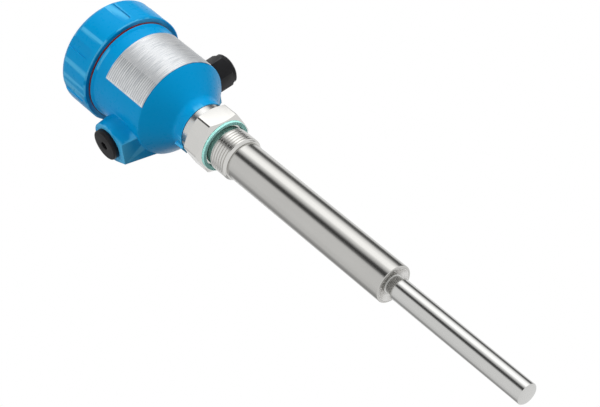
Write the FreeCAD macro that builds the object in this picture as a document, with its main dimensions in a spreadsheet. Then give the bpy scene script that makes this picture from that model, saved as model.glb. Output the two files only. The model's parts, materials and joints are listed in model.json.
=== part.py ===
import FreeCAD, Part
import os
import Sketcher
from FreeCAD import Placement, Rotation, Vector

# Vibrating rod level switch with an extension tube and a cast housing.
# Frame: origin on the probe axis at the sealing face of the process hexagon,
# +Z along the axis up into the housing, the cable gland towards +X and the
# blanking plug towards -X. The two entries share one axis, beside the probe
# axis in +Y. All lengths are in millimetres, angles in degrees.

SIZES = [
    # Process fitting
    ("hex_flats", 41.0, "process hexagon across its flats"),
    ("hex_height", 17.0, "height of the hexagon"),
    ("hex_turn", 9.4, "azimuth of one corner of the hexagon"),
    ("hex_crown", 19.7, "radius where the hexagon's end chamfers start"),
    ("hex_chamfer", 30.0, "slope of the hexagon's end chamfers"),
    ("collar_radius", 19.1, "round collar under the housing"),
    ("collar_height", 5.6, "height of the collar"),
    ("pivot_radius", 15.0, "pivot that the housing turns on"),
    ("pivot_length", 16.0, "length of the pivot"),
    ("lead_bore", 8.0, "radius of the bore for the sensor lead"),
    ("lock_groove_start", 2.2, "collar top to the lock groove"),
    ("lock_groove_width", 5.6, "width of the lock groove"),
    ("lock_groove_depth", 1.4, "depth of the lock groove"),
    ("ring_groove_start", 11.2, "collar top to the ring groove"),
    ("ring_groove_width", 2.2, "width of the ring groove"),
    ("ring_section", 0.95, "section radius of the neck seal"),
    ("thread_radius", 16.625, "crest radius of the process thread"),
    ("thread_end", 19.4, "sealing face to the end of the full thread"),
    ("thread_relief", 15.4, "radius of the relief behind the thread"),
    ("relief_length", 4.6, "sealing face to the start of the thread"),
    ("thread_lead_in", 1.6, "lead-in chamfer of the thread"),
    ("socket_depth", 12.3, "depth of the socket for the extension tube"),
    ("socket_radius", 12.05, "radius of that socket"),
    ("gasket_inner", 16.8, "bore radius of the process gasket"),
    ("gasket_outer", 19.5, "outer radius of the process gasket"),
    ("gasket_thickness", 2.0, "thickness of the process gasket"),
    # Extension tube, diaphragm and rods
    ("tube_radius", 14.4, "outer radius of the extension tube"),
    ("tube_bore", 10.0, "bore radius of the extension tube"),
    ("tube_end", 173.1, "sealing face to the end of the tube"),
    ("tube_edge", 0.4, "edge chamfer of the tube"),
    ("head_radius", 12.6, "outer radius of the diaphragm"),
    ("head_length", 14.6, "length of the diaphragm's welded sleeve"),
    ("head_wall", 1.4, "wall of the diaphragm's sleeve"),
    ("dish_depth", 5.9, "depth of the dished end face"),
    ("dish_rim", 0.4, "flat rim outside the dish"),
    ("web_thickness", 2.4, "axial thickness of the dished web"),
    ("hub_radius", 7.4, "radius of the hub in the diaphragm"),
    ("hub_thickness", 3.7, "thickness of that hub"),
    ("sway_gap", 0.05, "gap that stands for the diaphragm's flexing"),
    ("neck_radius", 6.9, "root of the vibrating rod"),
    ("bead_radius", 7.3, "weld bead on the root"),
    ("bead_place", 4.3, "hub to the weld bead"),
    ("bead_width", 0.8, "width of the weld bead"),
    ("waist_radius", 6.5, "waist between the bead and the rod"),
    ("rod_start", 5.2, "end of the tube to the rod's shoulder"),
    ("rod_radius", 8.0, "radius of the vibrating rod"),
    ("rod_bore", 5.0, "bore radius of the vibrating rod"),
    ("rod_end", 294.5, "sealing face to the tip of the rod"),
    ("rod_tip_wall", 6.5, "thickness of the closed tip"),
    ("rod_chamfer", 0.9, "chamfer of the tip"),
    ("counter_radius", 3.4, "radius of the counter rod"),
    ("counter_free", 6.0, "free length below the counter rod"),
    # Drive stack
    ("disc_radius", 7.2, "radius of the ceramic discs"),
    ("disc_bore", 3.0, "bore radius of the discs"),
    ("disc_thickness", 2.4, "thickness of one ceramic disc"),
    ("electrode_thickness", 0.3, "thickness of one electrode"),
    ("insulator_thickness", 1.2, "thickness of one insulating washer"),
    ("cap_thickness", 3.0, "thickness of the pressure cap"),
    ("bolt_radius", 2.45, "radius of the stack bolt"),
    ("bolt_hole", 2.5, "radius of its tapped hole"),
    ("bolt_engagement", 2.6, "length of the bolt in the diaphragm"),
    ("stack_nut_flats", 8.0, "stack nut across its flats"),
    ("stack_nut_height", 4.0, "height of the stack nut"),
    ("bolt_spare", 2.0, "bolt standing out of the nut"),
    ("lead_radius", 1.8, "radius of the sensor lead"),
    ("lead_gap", 0.3, "gap between the stack bolt and the lead"),
    ("lead_reach", 27.0, "housing's floor to the upper end of the lead"),
    # Housing
    ("swivel_gap", 0.3, "gap between the collar and the neck"),
    ("swivel_play", 0.06, "radial play on the pivot"),
    ("neck_radius_out", 19.4, "outer radius of the neck"),
    ("neck_length", 8.3, "length of the neck below the shoulder"),
    ("neck_blend", 6.0, "rounding between neck and shoulder"),
    ("body_radius", 37.2, "outer radius of the housing"),
    ("barrel_length", 53.6, "length of the barrel up to its rim's top"),
    ("shoulder_slope", 45.0, "angle between the shoulder and the axis"),
    ("shoulder_blend", 3.0, "rounding at the shoulder"),
    ("rim_lip", 1.0, "rim under the cover, out from the barrel"),
    ("rim_height", 2.4, "height of that rim"),
    ("spigot_step", 1.2, "barrel's surface in to the cover's spigot"),
    ("spigot_height", 11.4, "height of that spigot"),
    ("wall", 4.2, "wall of the barrel"),
    ("pivot_roof", 0.6, "free height above the pivot"),
    ("floor_thickness", 5.8, "thickness of the floor over the pivot"),
    ("floor_step", 9.0, "slope from the floor out and up to the wall"),
    # Bosses, posts and lugs of the housing
    ("entry_rise", 25.8, "floor to the cable entry axis"),
    ("entry_inset", 18.0, "inner wall to the cable entry axis"),
    ("entry_radius", 10.0, "radius of the threaded cable entries"),
    ("boss_sink", 21.2, "barrel's surface in to the roots of the bosses"),
    ("plug_boss_reach", 11.55, "barrel's surface out to the plug boss's face"),
    ("gland_boss_reach", 1.3, "barrel's surface out to the gland boss's face"),
    ("boss_round", 15.6, "radius over the top of a boss"),
    ("boss_flare", 3.2, "extra radius of a boss at its root"),
    ("boss_sole", 9.6, "half width of the sole of a boss"),
    ("boss_drop", 16.8, "entry axis to the sole of a boss"),
    ("boss_slope", 7.4, "drop of the sole towards the housing"),
    ("post_radius", 4.2, "radius of the two insert posts"),
    ("post_inset", 5.5, "insert's edge to the middle of a post"),
    ("post_height", 31.0, "height of the posts"),
    ("lug_turn", 151.9, "azimuth of the lock screw's lug"),
    ("lug_width", 7.6, "width of the lug"),
    ("lug_rise", 5.9, "pivot's surface out to the face of the lug"),
    ("lug_height", 7.8, "height of the lug"),
    ("lock_radius", 2.45, "radius of the lock screw"),
    ("lock_play", 0.05, "radial play of the lock screw"),
    ("lock_tip", 0.9, "pivot's surface in to the tip of the lock screw"),
    ("lock_sink", 0.7, "lock screw sunk below the lug"),
    ("lock_socket", 2.5, "lock screw socket across its flats"),
    ("lock_socket_depth", 2.2, "depth of that socket"),
    # Cover
    ("cover_wall", 6.75, "spigot's surface out to the cover's ridges"),
    ("ridge_height", 0.55, "middle of a grip face out to the ridges"),
    ("cover_height", 31.1, "height of the cover"),
    ("cover_round", 8.4, "rounding of the cover's upper edge"),
    ("cover_edge", 1.3, "chamfer of the cover's lower edge"),
    ("cover_roof", 4.0, "thickness of the cover's roof"),
    ("cover_play", 0.07, "radial play of the cover's thread"),
    ("cover_step", 1.0, "spigot's surface in to the cover's inside"),
    ("cover_thread", 12.0, "length of the cover's thread"),
    ("cover_ridge", -111.1, "azimuth of one ridge of the cover"),
    ("flute_turn", 3.0, "middle of a grip face to the middle of its flute"),
    ("flute_width", 7.8, "width of a finger flute"),
    ("flute_corner", 3.4, "corner radius at the end of a flute"),
    ("flute_depth", 1.1, "depth of a flute"),
    ("flute_start", 4.4, "cover's lower face to the end of a flute"),
    ("ring_play", 0.3, "play between the spigot and the cover seal"),
    ("ring_width", 2.2, "width of the cover seal"),
    ("ring_height", 1.3, "height of the cover seal"),
    # Nameplate
    ("plate_thickness", 0.4, "thickness of the nameplate"),
    ("plate_glue", 0.12, "glue under the nameplate"),
    ("plate_height", 41.2, "height of the nameplate"),
    ("plate_start", -143.7, "azimuth where the nameplate starts"),
    ("plate_sweep", 108.0, "angle covered by the nameplate"),
    # Cable gland
    ("entry_play", 0.08, "radial play of the cable entry threads"),
    ("gland_bore", 6.4, "bore radius of the gland body"),
    ("gland_tail", 8.2, "length of the gland's thread in the housing"),
    ("gland_ring_inner", 10.2, "inner radius of the gland's flat ring"),
    ("gland_ring_outer", 11.2, "outer radius of the gland's flat ring"),
    ("gland_ring_thickness", 1.2, "thickness of that ring"),
    ("gland_flats", 22.2, "gland hexagons across their flats"),
    ("gland_hex_height", 3.5, "height of the gland body's hexagon"),
    ("gland_turn", 34.0, "turn of the gland's hexagons from -Z"),
    ("gland_thread", 9.2, "radius of the gland's outer thread"),
    ("gland_thread_length", 11.6, "length of the gland's outer thread"),
    ("gland_seat", 7.7, "radius of the seat for the clamping seal"),
    ("gland_seat_depth", 5.6, "depth of that seat"),
    ("clamp_radius", 7.6, "outer radius of the clamping seal"),
    ("clamp_bore", 4.6, "bore radius of the clamping seal"),
    ("clamp_length", 7.4, "length of the clamping seal"),
    ("clamp_gap", 0.1, "play between the clamping seal and the nut"),
    ("nut_gap", 0.4, "gap between the gland's hexagon and its nut"),
    ("nut_length", 16.0, "length of the gland nut"),
    ("nut_straight", 10.8, "length of the nut's full hexagon"),
    ("nut_brow", 11.5, "radius where the nut's dome starts"),
    ("nut_collar", 2.2, "length of the dome's straight foot"),
    ("nut_face", 9.2, "radius of the nut's flat end"),
    ("nut_throat", 6.3, "radius of the nut's opening"),
    # Blanking plug
    ("plug_shank", 11.0, "length of the plug's shank"),
    ("plug_head", 11.8, "radius of the plug's head"),
    ("plug_head_height", 3.8, "height of the plug's head"),
    ("plug_edge", 0.7, "chamfer of the plug's head"),
    ("plug_socket", 6.0, "plug socket across its flats"),
    ("plug_socket_depth", 2.8, "depth of that socket"),
    ("plug_ring_inner", 10.1, "inner radius of the plug's flat ring"),
    ("plug_ring_outer", 11.5, "outer radius of the plug's flat ring"),
    ("plug_ring_thickness", 0.6, "thickness of that ring"),
    # Electronics insert
    ("insert_gap", 1.5, "gap round the electronics insert"),
    ("insert_height", 23.0, "height of the electronics insert"),
    ("insert_wall", 2.0, "wall of the electronics insert"),
    ("insert_hole", 2.15, "radius of its screw holes"),
    ("board_thickness", 1.6, "thickness of the circuit board"),
    ("board_level", 9.0, "insert's lower edge to the board"),
    ("board_gap", 0.25, "gap round the circuit board"),
    ("screw_radius", 2.0, "radius of the insert screws"),
    ("screw_play", 0.06, "radial play of those screws"),
    ("screw_reach", 8.0, "length of those screws in the posts"),
    ("screw_head", 3.6, "radius of their heads"),
    ("screw_head_height", 2.6, "height of their heads"),
    ("drive_width", 0.9, "width of a screwdriver slot"),
    ("drive_depth", 1.0, "depth of a screwdriver slot"),
    ("block_length", 34.0, "length of the terminal block"),
    ("block_width", 12.0, "width of the terminal block"),
    ("block_height", 9.0, "height of the terminal block"),
    ("block_place", -11.0, "place of the terminal block along Y"),
    ("terminal_pitch", 6.6, "spacing of the terminals"),
    ("terminal_hole", 2.4, "radius of the holes over the screws"),
    ("terminal_screw", 2.3, "radius of the terminal screws"),
    ("terminal_screw_height", 3.4, "height of the terminal screws"),
    ("terminal_hole_depth", 5.0, "depth of those holes"),
    ("terminal_mouth", 4.0, "width of a conductor opening"),
    ("terminal_mouth_height", 3.2, "height of a conductor opening"),
    ("switch_length", 16.0, "length of the switch block"),
    ("switch_width", 8.0, "width of the switch block"),
    ("switch_height", 3.0, "height of the switch block"),
    ("switch_place", 11.0, "place of the switch block along Y"),
    ("slider_spacing", 7.0, "spacing of the two sliders"),
    ("slider_width", 1.8, "width of a slider"),
    ("slider_length", 2.2, "length of a slider"),
    ("slider_height", 3.2, "height of a slider"),
    ("slider_travel", 2.2, "travel of a slider"),
    ("slider_play", 0.15, "play round a slider"),
    ("slider_sink", 2.0, "depth of a slider in its slot"),
    ("lamp_radius", 2.0, "radius of the status lamp"),
    ("lamp_height", 2.4, "height of the status lamp"),
    ("lamp_place", 17.0, "place of the status lamp along X"),
    # Inner earth terminal
    ("earth_gap", 10.0, "post to the earth terminal"),
    ("earth_clamp_radius", 4.8, "radius of the earth clamp"),
    ("earth_clamp_thickness", 1.4, "thickness of the earth clamp"),
    ("earth_screw_radius", 2.0, "radius of the earth screw"),
    ("earth_screw_play", 0.05, "radial play of the earth screw"),
    ("earth_screw_depth", 3.6, "depth of the earth screw in the floor"),
    ("earth_head_radius", 3.6, "radius of the earth screw's head"),
    ("earth_head_height", 2.6, "height of the earth screw's head"),
]

RIDGES = 7
DISCS = 4
TERMINALS = 5
TOOL_SPARE = 5.0
FULL_TURN = 360.0

doc = FreeCAD.newDocument("level_switch")
sheet = doc.addObject("Spreadsheet::Sheet", "Dims")
for row, (alias, number, meaning) in enumerate(SIZES, 1):
    sheet.set(f"A{row}", meaning)
    sheet.set(f"B{row}", str(number))
    sheet.setAlias(f"B{row}", alias)
doc.recompute()


class Size:
    """Gives the sheet's cells as expressions: S.tube_bore is Dims.tube_bore."""

    def __getattr__(self, alias):
        return "Dims." + alias


S = Size()
SPARE = str(TOOL_SPARE)

# Levels that follow from the driving sizes
COLLAR_TOP = f"({S.hex_height} + {S.collar_height})"
NECK_END = f"({COLLAR_TOP} + {S.swivel_gap})"
LOCK_LEVEL = f"({COLLAR_TOP} + {S.lock_groove_start} + {S.lock_groove_width} / 2)"
PIVOT_TOP = f"({COLLAR_TOP} + {S.pivot_length})"
PIVOT_ROOF = f"({PIVOT_TOP} + {S.pivot_roof})"
THREAD_TIP = f"({S.thread_end} + {S.thread_lead_in})"
SOCKET_TOP = f"({THREAD_TIP} - {S.socket_depth})"
HUB_FACE = f"({S.tube_end} - {S.dish_depth})"
HUB_BACK = f"({HUB_FACE} - {S.hub_thickness})"
STACK_PAIR = f"({S.disc_thickness} + {S.electrode_thickness})"
STACK_START = f"({HUB_BACK} - {S.insulator_thickness})"
STACK_END = f"({STACK_START} - {DISCS} * {STACK_PAIR} - {S.electrode_thickness})"
CAP_START = f"({STACK_END} - {S.insulator_thickness})"
NUT_START = f"({CAP_START} - {S.cap_thickness})"
BOLT_END = f"({NUT_START} - {S.stack_nut_height} - {S.bolt_spare})"
SHOULDER = (f"({NECK_END} + {S.neck_length}"
            f" + ({S.body_radius} - {S.neck_radius_out}) / tan({S.shoulder_slope}))")
FLANGE_TOP = f"({SHOULDER} + {S.barrel_length})"
FLOOR = f"({PIVOT_ROOF} + {S.floor_thickness})"
POST_TOP = f"({FLOOR} + {S.post_height})"
COVER_FOOT = f"({FLANGE_TOP} + {S.ring_height})"
COVER_TOP = f"({COVER_FOOT} + {S.cover_height})"
INSERT_TOP = f"({POST_TOP} + {S.insert_height})"

# Radii and places that follow from the driving sizes
CAVITY = f"({S.body_radius} - {S.wall})"
SPIGOT = f"({S.body_radius} - {S.spigot_step})"
COVER_RIDGE = f"({SPIGOT} + {S.cover_wall})"
COVER_FLAT = f"({COVER_RIDGE} - {S.ridge_height})"
RING_INSIDE = f"({SPIGOT} + {S.ring_play})"
INSERT_RADIUS = f"({CAVITY} - {S.insert_gap})"
POST_PLACE = f"({INSERT_RADIUS} - {S.post_inset})"
EARTH_PLACE = f"-({POST_PLACE} - {S.earth_gap})"
LUG_FACE = f"({S.pivot_radius} + {S.lug_rise})"
LOCK_TIP = f"({S.pivot_radius} - {S.lock_tip})"
ENTRY_PLACE = f"({CAVITY} - {S.entry_inset})"
ENTRY_LEVEL = f"({FLOOR} + {S.entry_rise})"
BOSS_ROOT = f"({S.body_radius} - {S.boss_sink})"
PLUG_FACE = f"({S.body_radius} + {S.plug_boss_reach})"
GLAND_FACE = f"({S.body_radius} + {S.gland_boss_reach})"
GLAND_HEX = f"({GLAND_FACE} + {S.gland_ring_thickness})"
GLAND_THREAD = f"({GLAND_HEX} + {S.gland_hex_height})"
GLAND_END = f"({GLAND_THREAD} + {S.gland_thread_length})"
CLAMP_START = f"({GLAND_END} - {S.gland_seat_depth})"
CLAMP_END = f"({CLAMP_START} + {S.clamp_length})"
NUT_FOOT = f"({GLAND_THREAD} + {S.nut_gap})"
NUT_END = f"({NUT_FOOT} + {S.nut_length})"
PLUG_SEAT = f"({PLUG_FACE} + {S.plug_ring_thickness})"

UP = Rotation()
TO_GLAND = Rotation(Vector(0, 1, 0), 90)
TO_PLUG = Rotation(Vector(0, 1, 0), -90)


def value(expression):
    """The number that an expression has at the present sizes."""
    return float(sheet.evalExpression(f"({expression}) * 1.0"))


def about_z(angle):
    return Rotation(Vector(0, 0, 1), angle)


def bind(thing, **expressions):
    """Ties properties of an object to expressions on the sheet."""
    for prop, expression in expressions.items():
        thing.setExpression(prop, str(expression))


def place(thing, base=("0", "0", "0"), rotation=UP):
    """Turns an object and ties its place to expressions on the sheet."""
    thing.Placement = Placement(Vector(), rotation)
    for axis, expression in zip("xyz", base):
        thing.setExpression(f"Placement.Base.{axis}", str(expression))
    return thing


def plane(body, role):
    return [item for item in body.Origin.OriginFeatures if item.Role == role][0]


def outline_sketch(body, name, role, points, offset="0"):
    """A closed outline whose corners and arcs follow the sheet.

    A corner is (x, y). Where an arc runs to the next corner, a third entry
    gives a point that the arc passes through, and its radius.
    """
    sketch = body.newObject("Sketcher::SketchObject", name)
    sketch.AttachmentSupport = [(plane(body, role), "")]
    sketch.MapMode = "FlatFace"
    sketch.setExpression("AttachmentOffset.Base.z", str(offset))
    corners = [Vector(value(p[0]), value(p[1]), 0) for p in points]
    ends = []
    for index, point in enumerate(points):
        start = corners[index]
        finish = corners[(index + 1) % len(points)]
        leftward = True
        edge = Part.LineSegment(start, finish)
        if len(point) > 2:
            through = Vector(value(point[2][0]), value(point[2][1]), 0)
            edge = Part.Arc(start, through, finish)
            leftward = (through - start).cross(finish - through).z > 0
        sketch.addGeometry(edge, False)
        ends.append((1, 2) if leftward else (2, 1))
    for index, point in enumerate(points):
        after = (index + 1) % len(points)
        first, last = ends[index]
        sketch.addConstraint(
            Sketcher.Constraint("Coincident", index, last, after, ends[after][0]))
        tie(sketch, point[0], "DistanceX", -1, 1, index, first, corners[index].x)
        tie(sketch, point[1], "DistanceY", -1, 1, index, first, corners[index].y)
        if len(point) > 2:
            tie(sketch, point[2][2], "Radius", index, sketch.Geometry[index].Radius)
    return sketch


def tie(sketch, expression, *constraint):
    """Adds a constraint to a sketch and lets an expression drive it."""
    number = sketch.addConstraint(Sketcher.Constraint(*constraint))
    sketch.setExpression(f"Constraints[{number}]", str(expression))


def bend(corner, radius, angle, side):
    """The two ends of a rounding between an upright edge and a slope.

    The slope leaves the corner at an angle from the axis. Side is 1 where the
    slope comes first and the metal is inside, and -1 where the upright does.
    """
    reach = f"({radius} * tan({angle} / 2))"
    level = f"({corner[1]} + {side} * {reach})"
    centre = f"({corner[0]} - {side} * {radius})"
    on_slope = (
        f"{corner[0]} - {side} * {reach} * sin({angle})",
        f"{corner[1]} - {side} * {reach} * cos({angle})",
    )
    upright = (corner[0], level)
    through = (
        f"{centre} + {side} * {radius} * cos({angle} / 2)",
        f"{level} - {side} * {radius} * sin({angle} / 2)",
        radius,
    )
    if side > 0:
        return [on_slope + (through,), upright]
    return [upright + (through,), on_slope]


def turned(name, outline, place_at=("0", "0", "0"), rotation=UP):
    """A body turned about its own Z axis from (radius, level) corners."""
    body = doc.addObject("PartDesign::Body", name)
    sketch = outline_sketch(body, name + "_outline", "XZ_Plane", outline)
    revolution = body.newObject("PartDesign::Revolution", name + "_turn")
    revolution.Profile = sketch
    revolution.ReferenceAxis = (sketch, ["V_Axis"])
    revolution.Angle = FULL_TURN
    body.Tip = revolution
    place(body, place_at, rotation)
    return body


def ring(name, inner, outer, low, high, rotation=UP, base=("0", "0", "0")):
    return turned(name, [(inner, low), (outer, low), (outer, high), (inner, high)], base, rotation)


def cylinder(name, radius, height, base=("0", "0", "0"), rotation=UP):
    thing = doc.addObject("Part::Cylinder", name)
    bind(thing, Radius=radius, Height=height)
    return place(thing, base, rotation)


def box(name, length, width, height, base=("0", "0", "0"), rotation=UP):
    thing = doc.addObject("Part::Box", name)
    bind(thing, Length=length, Width=width, Height=height)
    return place(thing, base, rotation)


def hexagon(name, flats, height, base=("0", "0", "0"), rotation=UP):
    thing = doc.addObject("Part::Prism", name)
    thing.Polygon = 6
    bind(thing, Circumradius=f"{flats} / sqrt(3)", Height=height)
    return place(thing, base, rotation)


def fused(name, pieces):
    thing = doc.addObject("Part::MultiFuse", name)
    thing.Shapes = pieces
    thing.Refine = True
    return thing


def cut(name, base, tools):
    thing = doc.addObject("Part::Cut", name)
    thing.Base = base
    thing.Tool = tools[0] if len(tools) == 1 else fused(name + "_tools", tools)
    thing.Refine = True
    return thing


def common(name, first, second):
    thing = doc.addObject("Part::Common", name)
    thing.Base = first
    thing.Tool = second
    thing.Refine = True
    return thing


def group(name, pieces):
    thing = doc.addObject("Part::Compound", name)
    thing.Links = pieces
    return thing


NODES = []


def node(name, thing):
    """Registers an object as a finished piece under its own name."""
    thing.Label = name
    NODES.append((name, thing))


def process_fitting():
    """Hexagon, collar, pivot and process thread, turned from one bar."""
    lock_low = f"({COLLAR_TOP} + {S.lock_groove_start})"
    lock_high = f"({lock_low} + {S.lock_groove_width})"
    lock_floor = f"({S.pivot_radius} - {S.lock_groove_depth})"
    ring_low = f"({COLLAR_TOP} + {S.ring_groove_start})"
    ring_high = f"({ring_low} + {S.ring_groove_width})"
    ring_floor = f"({S.pivot_radius} - 2 * {S.ring_section})"
    core = turned("fitting_core", [
        (S.lead_bore, PIVOT_TOP),
        (S.lead_bore, f"-{SOCKET_TOP}"),
        (S.socket_radius, f"-{SOCKET_TOP}"),
        (S.socket_radius, f"-{THREAD_TIP}"),
        (f"{S.thread_radius} - {S.thread_lead_in}", f"-{THREAD_TIP}"),
        (S.thread_radius, f"-{S.thread_end}"),
        (S.thread_radius, f"-{S.relief_length}"),
        (S.thread_relief, f"-{S.relief_length}"),
        (S.thread_relief, "0"),
        (S.collar_radius, "0"),
        (S.collar_radius, COLLAR_TOP),
        (S.pivot_radius, COLLAR_TOP),
        (S.pivot_radius, lock_low),
        (lock_floor, lock_low),
        (lock_floor, lock_high),
        (S.pivot_radius, lock_high),
        (S.pivot_radius, ring_low),
        (ring_floor, ring_low),
        (ring_floor, ring_high),
        (S.pivot_radius, ring_high),
        (S.pivot_radius, PIVOT_TOP),
    ])
    corner = f"({S.hex_flats} / sqrt(3))"
    fall = f"(({corner} - {S.hex_crown}) * tan({S.hex_chamfer}))"
    crown = turned("hexagon_crown", [
        (S.lead_bore, "0"),
        (S.hex_crown, "0"),
        (corner, fall),
        (corner, f"{S.hex_height} - {fall}"),
        (S.hex_crown, S.hex_height),
        (S.lead_bore, S.hex_height),
    ])
    bar = hexagon("hexagon_bar", S.hex_flats, S.hex_height, rotation=about_z(value(S.hex_turn)))
    head = common("hexagon_head", bar, crown)
    node("process_fitting", fused("fitting", [core, head]))


def process_gasket():
    node("process_gasket", ring(
        "gasket", S.gasket_inner, S.gasket_outer, f"-{S.gasket_thickness}", "0"))


def neck_seal():
    """O-ring between the pivot and the bore of the neck."""
    seal = doc.addObject("Part::Torus", "neck_ring")
    bind(seal, Radius1=f"{S.pivot_radius} - {S.ring_section}", Radius2=S.ring_section)
    place(seal, ("0", "0", f"{COLLAR_TOP} + {S.ring_groove_start} + {S.ring_groove_width} / 2"))
    node("neck_seal", seal)


def probe_tube():
    """Extension tube with a turned-down end in the fitting's socket."""
    spigot = f"({S.socket_radius} - {S.sway_gap})"
    seat = f"({S.head_radius} + {S.sway_gap})"
    node("probe_tube", turned("tube", [
        (S.tube_bore, f"-{SOCKET_TOP} - {S.lead_gap}"),
        (S.tube_bore, f"-({S.tube_end} - {S.head_length})"),
        (seat, f"-({S.tube_end} - {S.head_length})"),
        (seat, f"-{S.tube_end}"),
        (f"{S.tube_radius} - {S.tube_edge}", f"-{S.tube_end}"),
        (S.tube_radius, f"-({S.tube_end} - {S.tube_edge})"),
        (S.tube_radius, f"-{THREAD_TIP}"),
        (spigot, f"-{THREAD_TIP}"),
        (spigot, f"-{SOCKET_TOP} - {S.lead_gap}"),
    ]))


def diaphragm():
    """Dished end of the tube with a thick hub that carries both rods."""
    rim = f"({S.head_radius} - {S.dish_rim})"
    inside = f"({S.head_radius} - {S.head_wall})"
    slope = f"({S.dish_depth} / ({rim} - {S.hub_radius}))"
    web_foot = f"({S.tube_end} - {S.web_thickness} - {slope} * {S.head_wall})"
    body = turned("diaphragm_body", [
        ("0", f"-{HUB_FACE}"),
        (S.hub_radius, f"-{HUB_FACE}"),
        (rim, f"-{S.tube_end}"),
        (S.head_radius, f"-{S.tube_end}"),
        (S.head_radius, f"-({S.tube_end} - {S.head_length})"),
        (inside, f"-({S.tube_end} - {S.head_length})"),
        (inside, f"-{web_foot}"),
        (S.hub_radius, f"-{HUB_BACK}"),
        ("0", f"-{HUB_BACK}"),
    ])
    tapping = cylinder("diaphragm_tapping", S.bolt_hole, f"{S.bolt_engagement} + {SPARE}",
                       ("0", "0", f"-({HUB_BACK} + {S.bolt_engagement})"))
    node("diaphragm", cut("diaphragm_cut", body, [tapping]))


def vibrating_rod():
    """Hollow rod with a closed tip, a waist and a weld bead at its root."""
    root = f"({HUB_FACE} + {S.sway_gap})"
    bead = f"({HUB_FACE} + {S.bead_place})"
    bead_end = f"({bead} + {S.bead_width})"
    shoulder = f"({S.tube_end} + {S.rod_start})"
    node("vibrating_rod", turned("rod", [
        (S.rod_bore, f"-{root}"),
        (S.rod_bore, f"-({S.rod_end} - {S.rod_tip_wall})"),
        ("0", f"-({S.rod_end} - {S.rod_tip_wall})"),
        ("0", f"-{S.rod_end}"),
        (f"{S.rod_radius} - {S.rod_chamfer}", f"-{S.rod_end}"),
        (S.rod_radius, f"-({S.rod_end} - {S.rod_chamfer})"),
        (S.rod_radius, f"-{shoulder}"),
        (S.waist_radius, f"-{shoulder}"),
        (S.waist_radius, f"-{bead_end}"),
        (S.bead_radius, f"-{bead_end}"),
        (S.bead_radius, f"-{bead}"),
        (S.neck_radius, f"-{bead}"),
        (S.neck_radius, f"-{root}"),
    ]))
    length = f"({S.rod_end} - {S.rod_tip_wall} - {S.counter_free} - {root})"
    node("counter_rod", cylinder(
        "inner_rod", S.counter_radius, length, ("0", "0", f"-({root} + {length})")))


def drive_stack():
    """Ceramic discs, electrodes and insulators clamped by a bolt and a nut."""
    def washer(name, top, thickness):
        return ring(name, S.disc_bore, S.disc_radius, f"-{top}", f"-{top} + {thickness}")

    discs, electrodes = [], []
    for index in range(DISCS + 1):
        level = f"({STACK_START} - {index} * {STACK_PAIR})"
        electrodes.append(washer(f"electrode_{index}", level, S.electrode_thickness))
        if index < DISCS:
            above = f"({level} - {S.electrode_thickness})"
            discs.append(washer(f"disc_{index}", above, S.disc_thickness))
    insulators = [
        washer("insulator_low", HUB_BACK, S.insulator_thickness),
        washer("insulator_high", STACK_END, S.insulator_thickness),
    ]
    node("piezo_discs", group("disc_set", discs))
    node("stack_electrodes", group("electrode_set", electrodes))
    node("stack_insulators", group("insulator_set", insulators))
    node("stack_cap", washer("cap", CAP_START, S.cap_thickness))
    nut = hexagon("stack_nut_bar", S.stack_nut_flats, S.stack_nut_height,
                  ("0", "0", f"-{NUT_START}"))
    hole = cylinder("stack_nut_hole", S.bolt_hole, f"{S.stack_nut_height} + {SPARE}",
                    ("0", "0", f"-{NUT_START} - {SPARE} / 2"))
    node("stack_nut", cut("stack_nut_cut", nut, [hole]))
    bolt_foot = f"({HUB_BACK} + {S.bolt_engagement})"
    node("stack_bolt", cylinder("stack_stud", S.bolt_radius, f"{bolt_foot} - {BOLT_END}",
                                ("0", "0", f"-{bolt_foot}")))
    lead_foot = f"({BOLT_END} - {S.lead_gap})"
    node("sensor_lead", cylinder("lead", S.lead_radius, f"{lead_foot} + {FLOOR} + {S.lead_reach}",
                                 ("0", "0", f"-{lead_foot}")))


def boss_section(body, name, reach, growth, drop):
    """Section of an entry boss: round over the top, down flat cheeks to a sole."""
    round_top = f"({S.boss_round} + {growth})"
    half_sole = f"({S.boss_sole} + {growth})"
    sole = f"({S.boss_drop} + {drop})"
    span = f"sqrt({half_sole}^2 + {sole}^2)"
    cheek = f"(atan({sole} / {half_sole}) - acos({round_top} / {span}))"
    middle = f"((90 deg - {cheek}) / 2)"

    def at(across, up):
        return (f"{ENTRY_PLACE} + {across}", f"{ENTRY_LEVEL} + {up}")

    right = at(f"{round_top} * cos({cheek})", f"-{round_top} * sin({cheek})")
    left = at(f"-{round_top} * cos({cheek})", f"-{round_top} * sin({cheek})")
    right_arc = at(f"{round_top} * cos({middle})", f"{round_top} * sin({middle})")
    left_arc = at(f"-{round_top} * cos({middle})", f"{round_top} * sin({middle})")
    return outline_sketch(body, name, "YZ_Plane", [
        right + (right_arc + (round_top,),),
        at("0", round_top) + (left_arc + (round_top,),),
        left,
        at(f"-{half_sole}", f"-{sole}"),
        at(half_sole, f"-{sole}"),
    ], offset=reach)


def entry_boss(name, side, face):
    """A cable entry drawn out of the housing's side, with draft all round."""
    body = doc.addObject("PartDesign::Body", name)
    outer = boss_section(body, name + "_face", f"{side} * {face}", "0", "0")
    inner = boss_section(body, name + "_foot", f"{side} * {BOSS_ROOT}", S.boss_flare, S.boss_slope)
    loft = body.newObject("PartDesign::AdditiveLoft", name + "_loft")
    loft.Profile = outer
    loft.Sections = [inner]
    loft.Ruled = True
    body.Tip = loft
    return body


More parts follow.
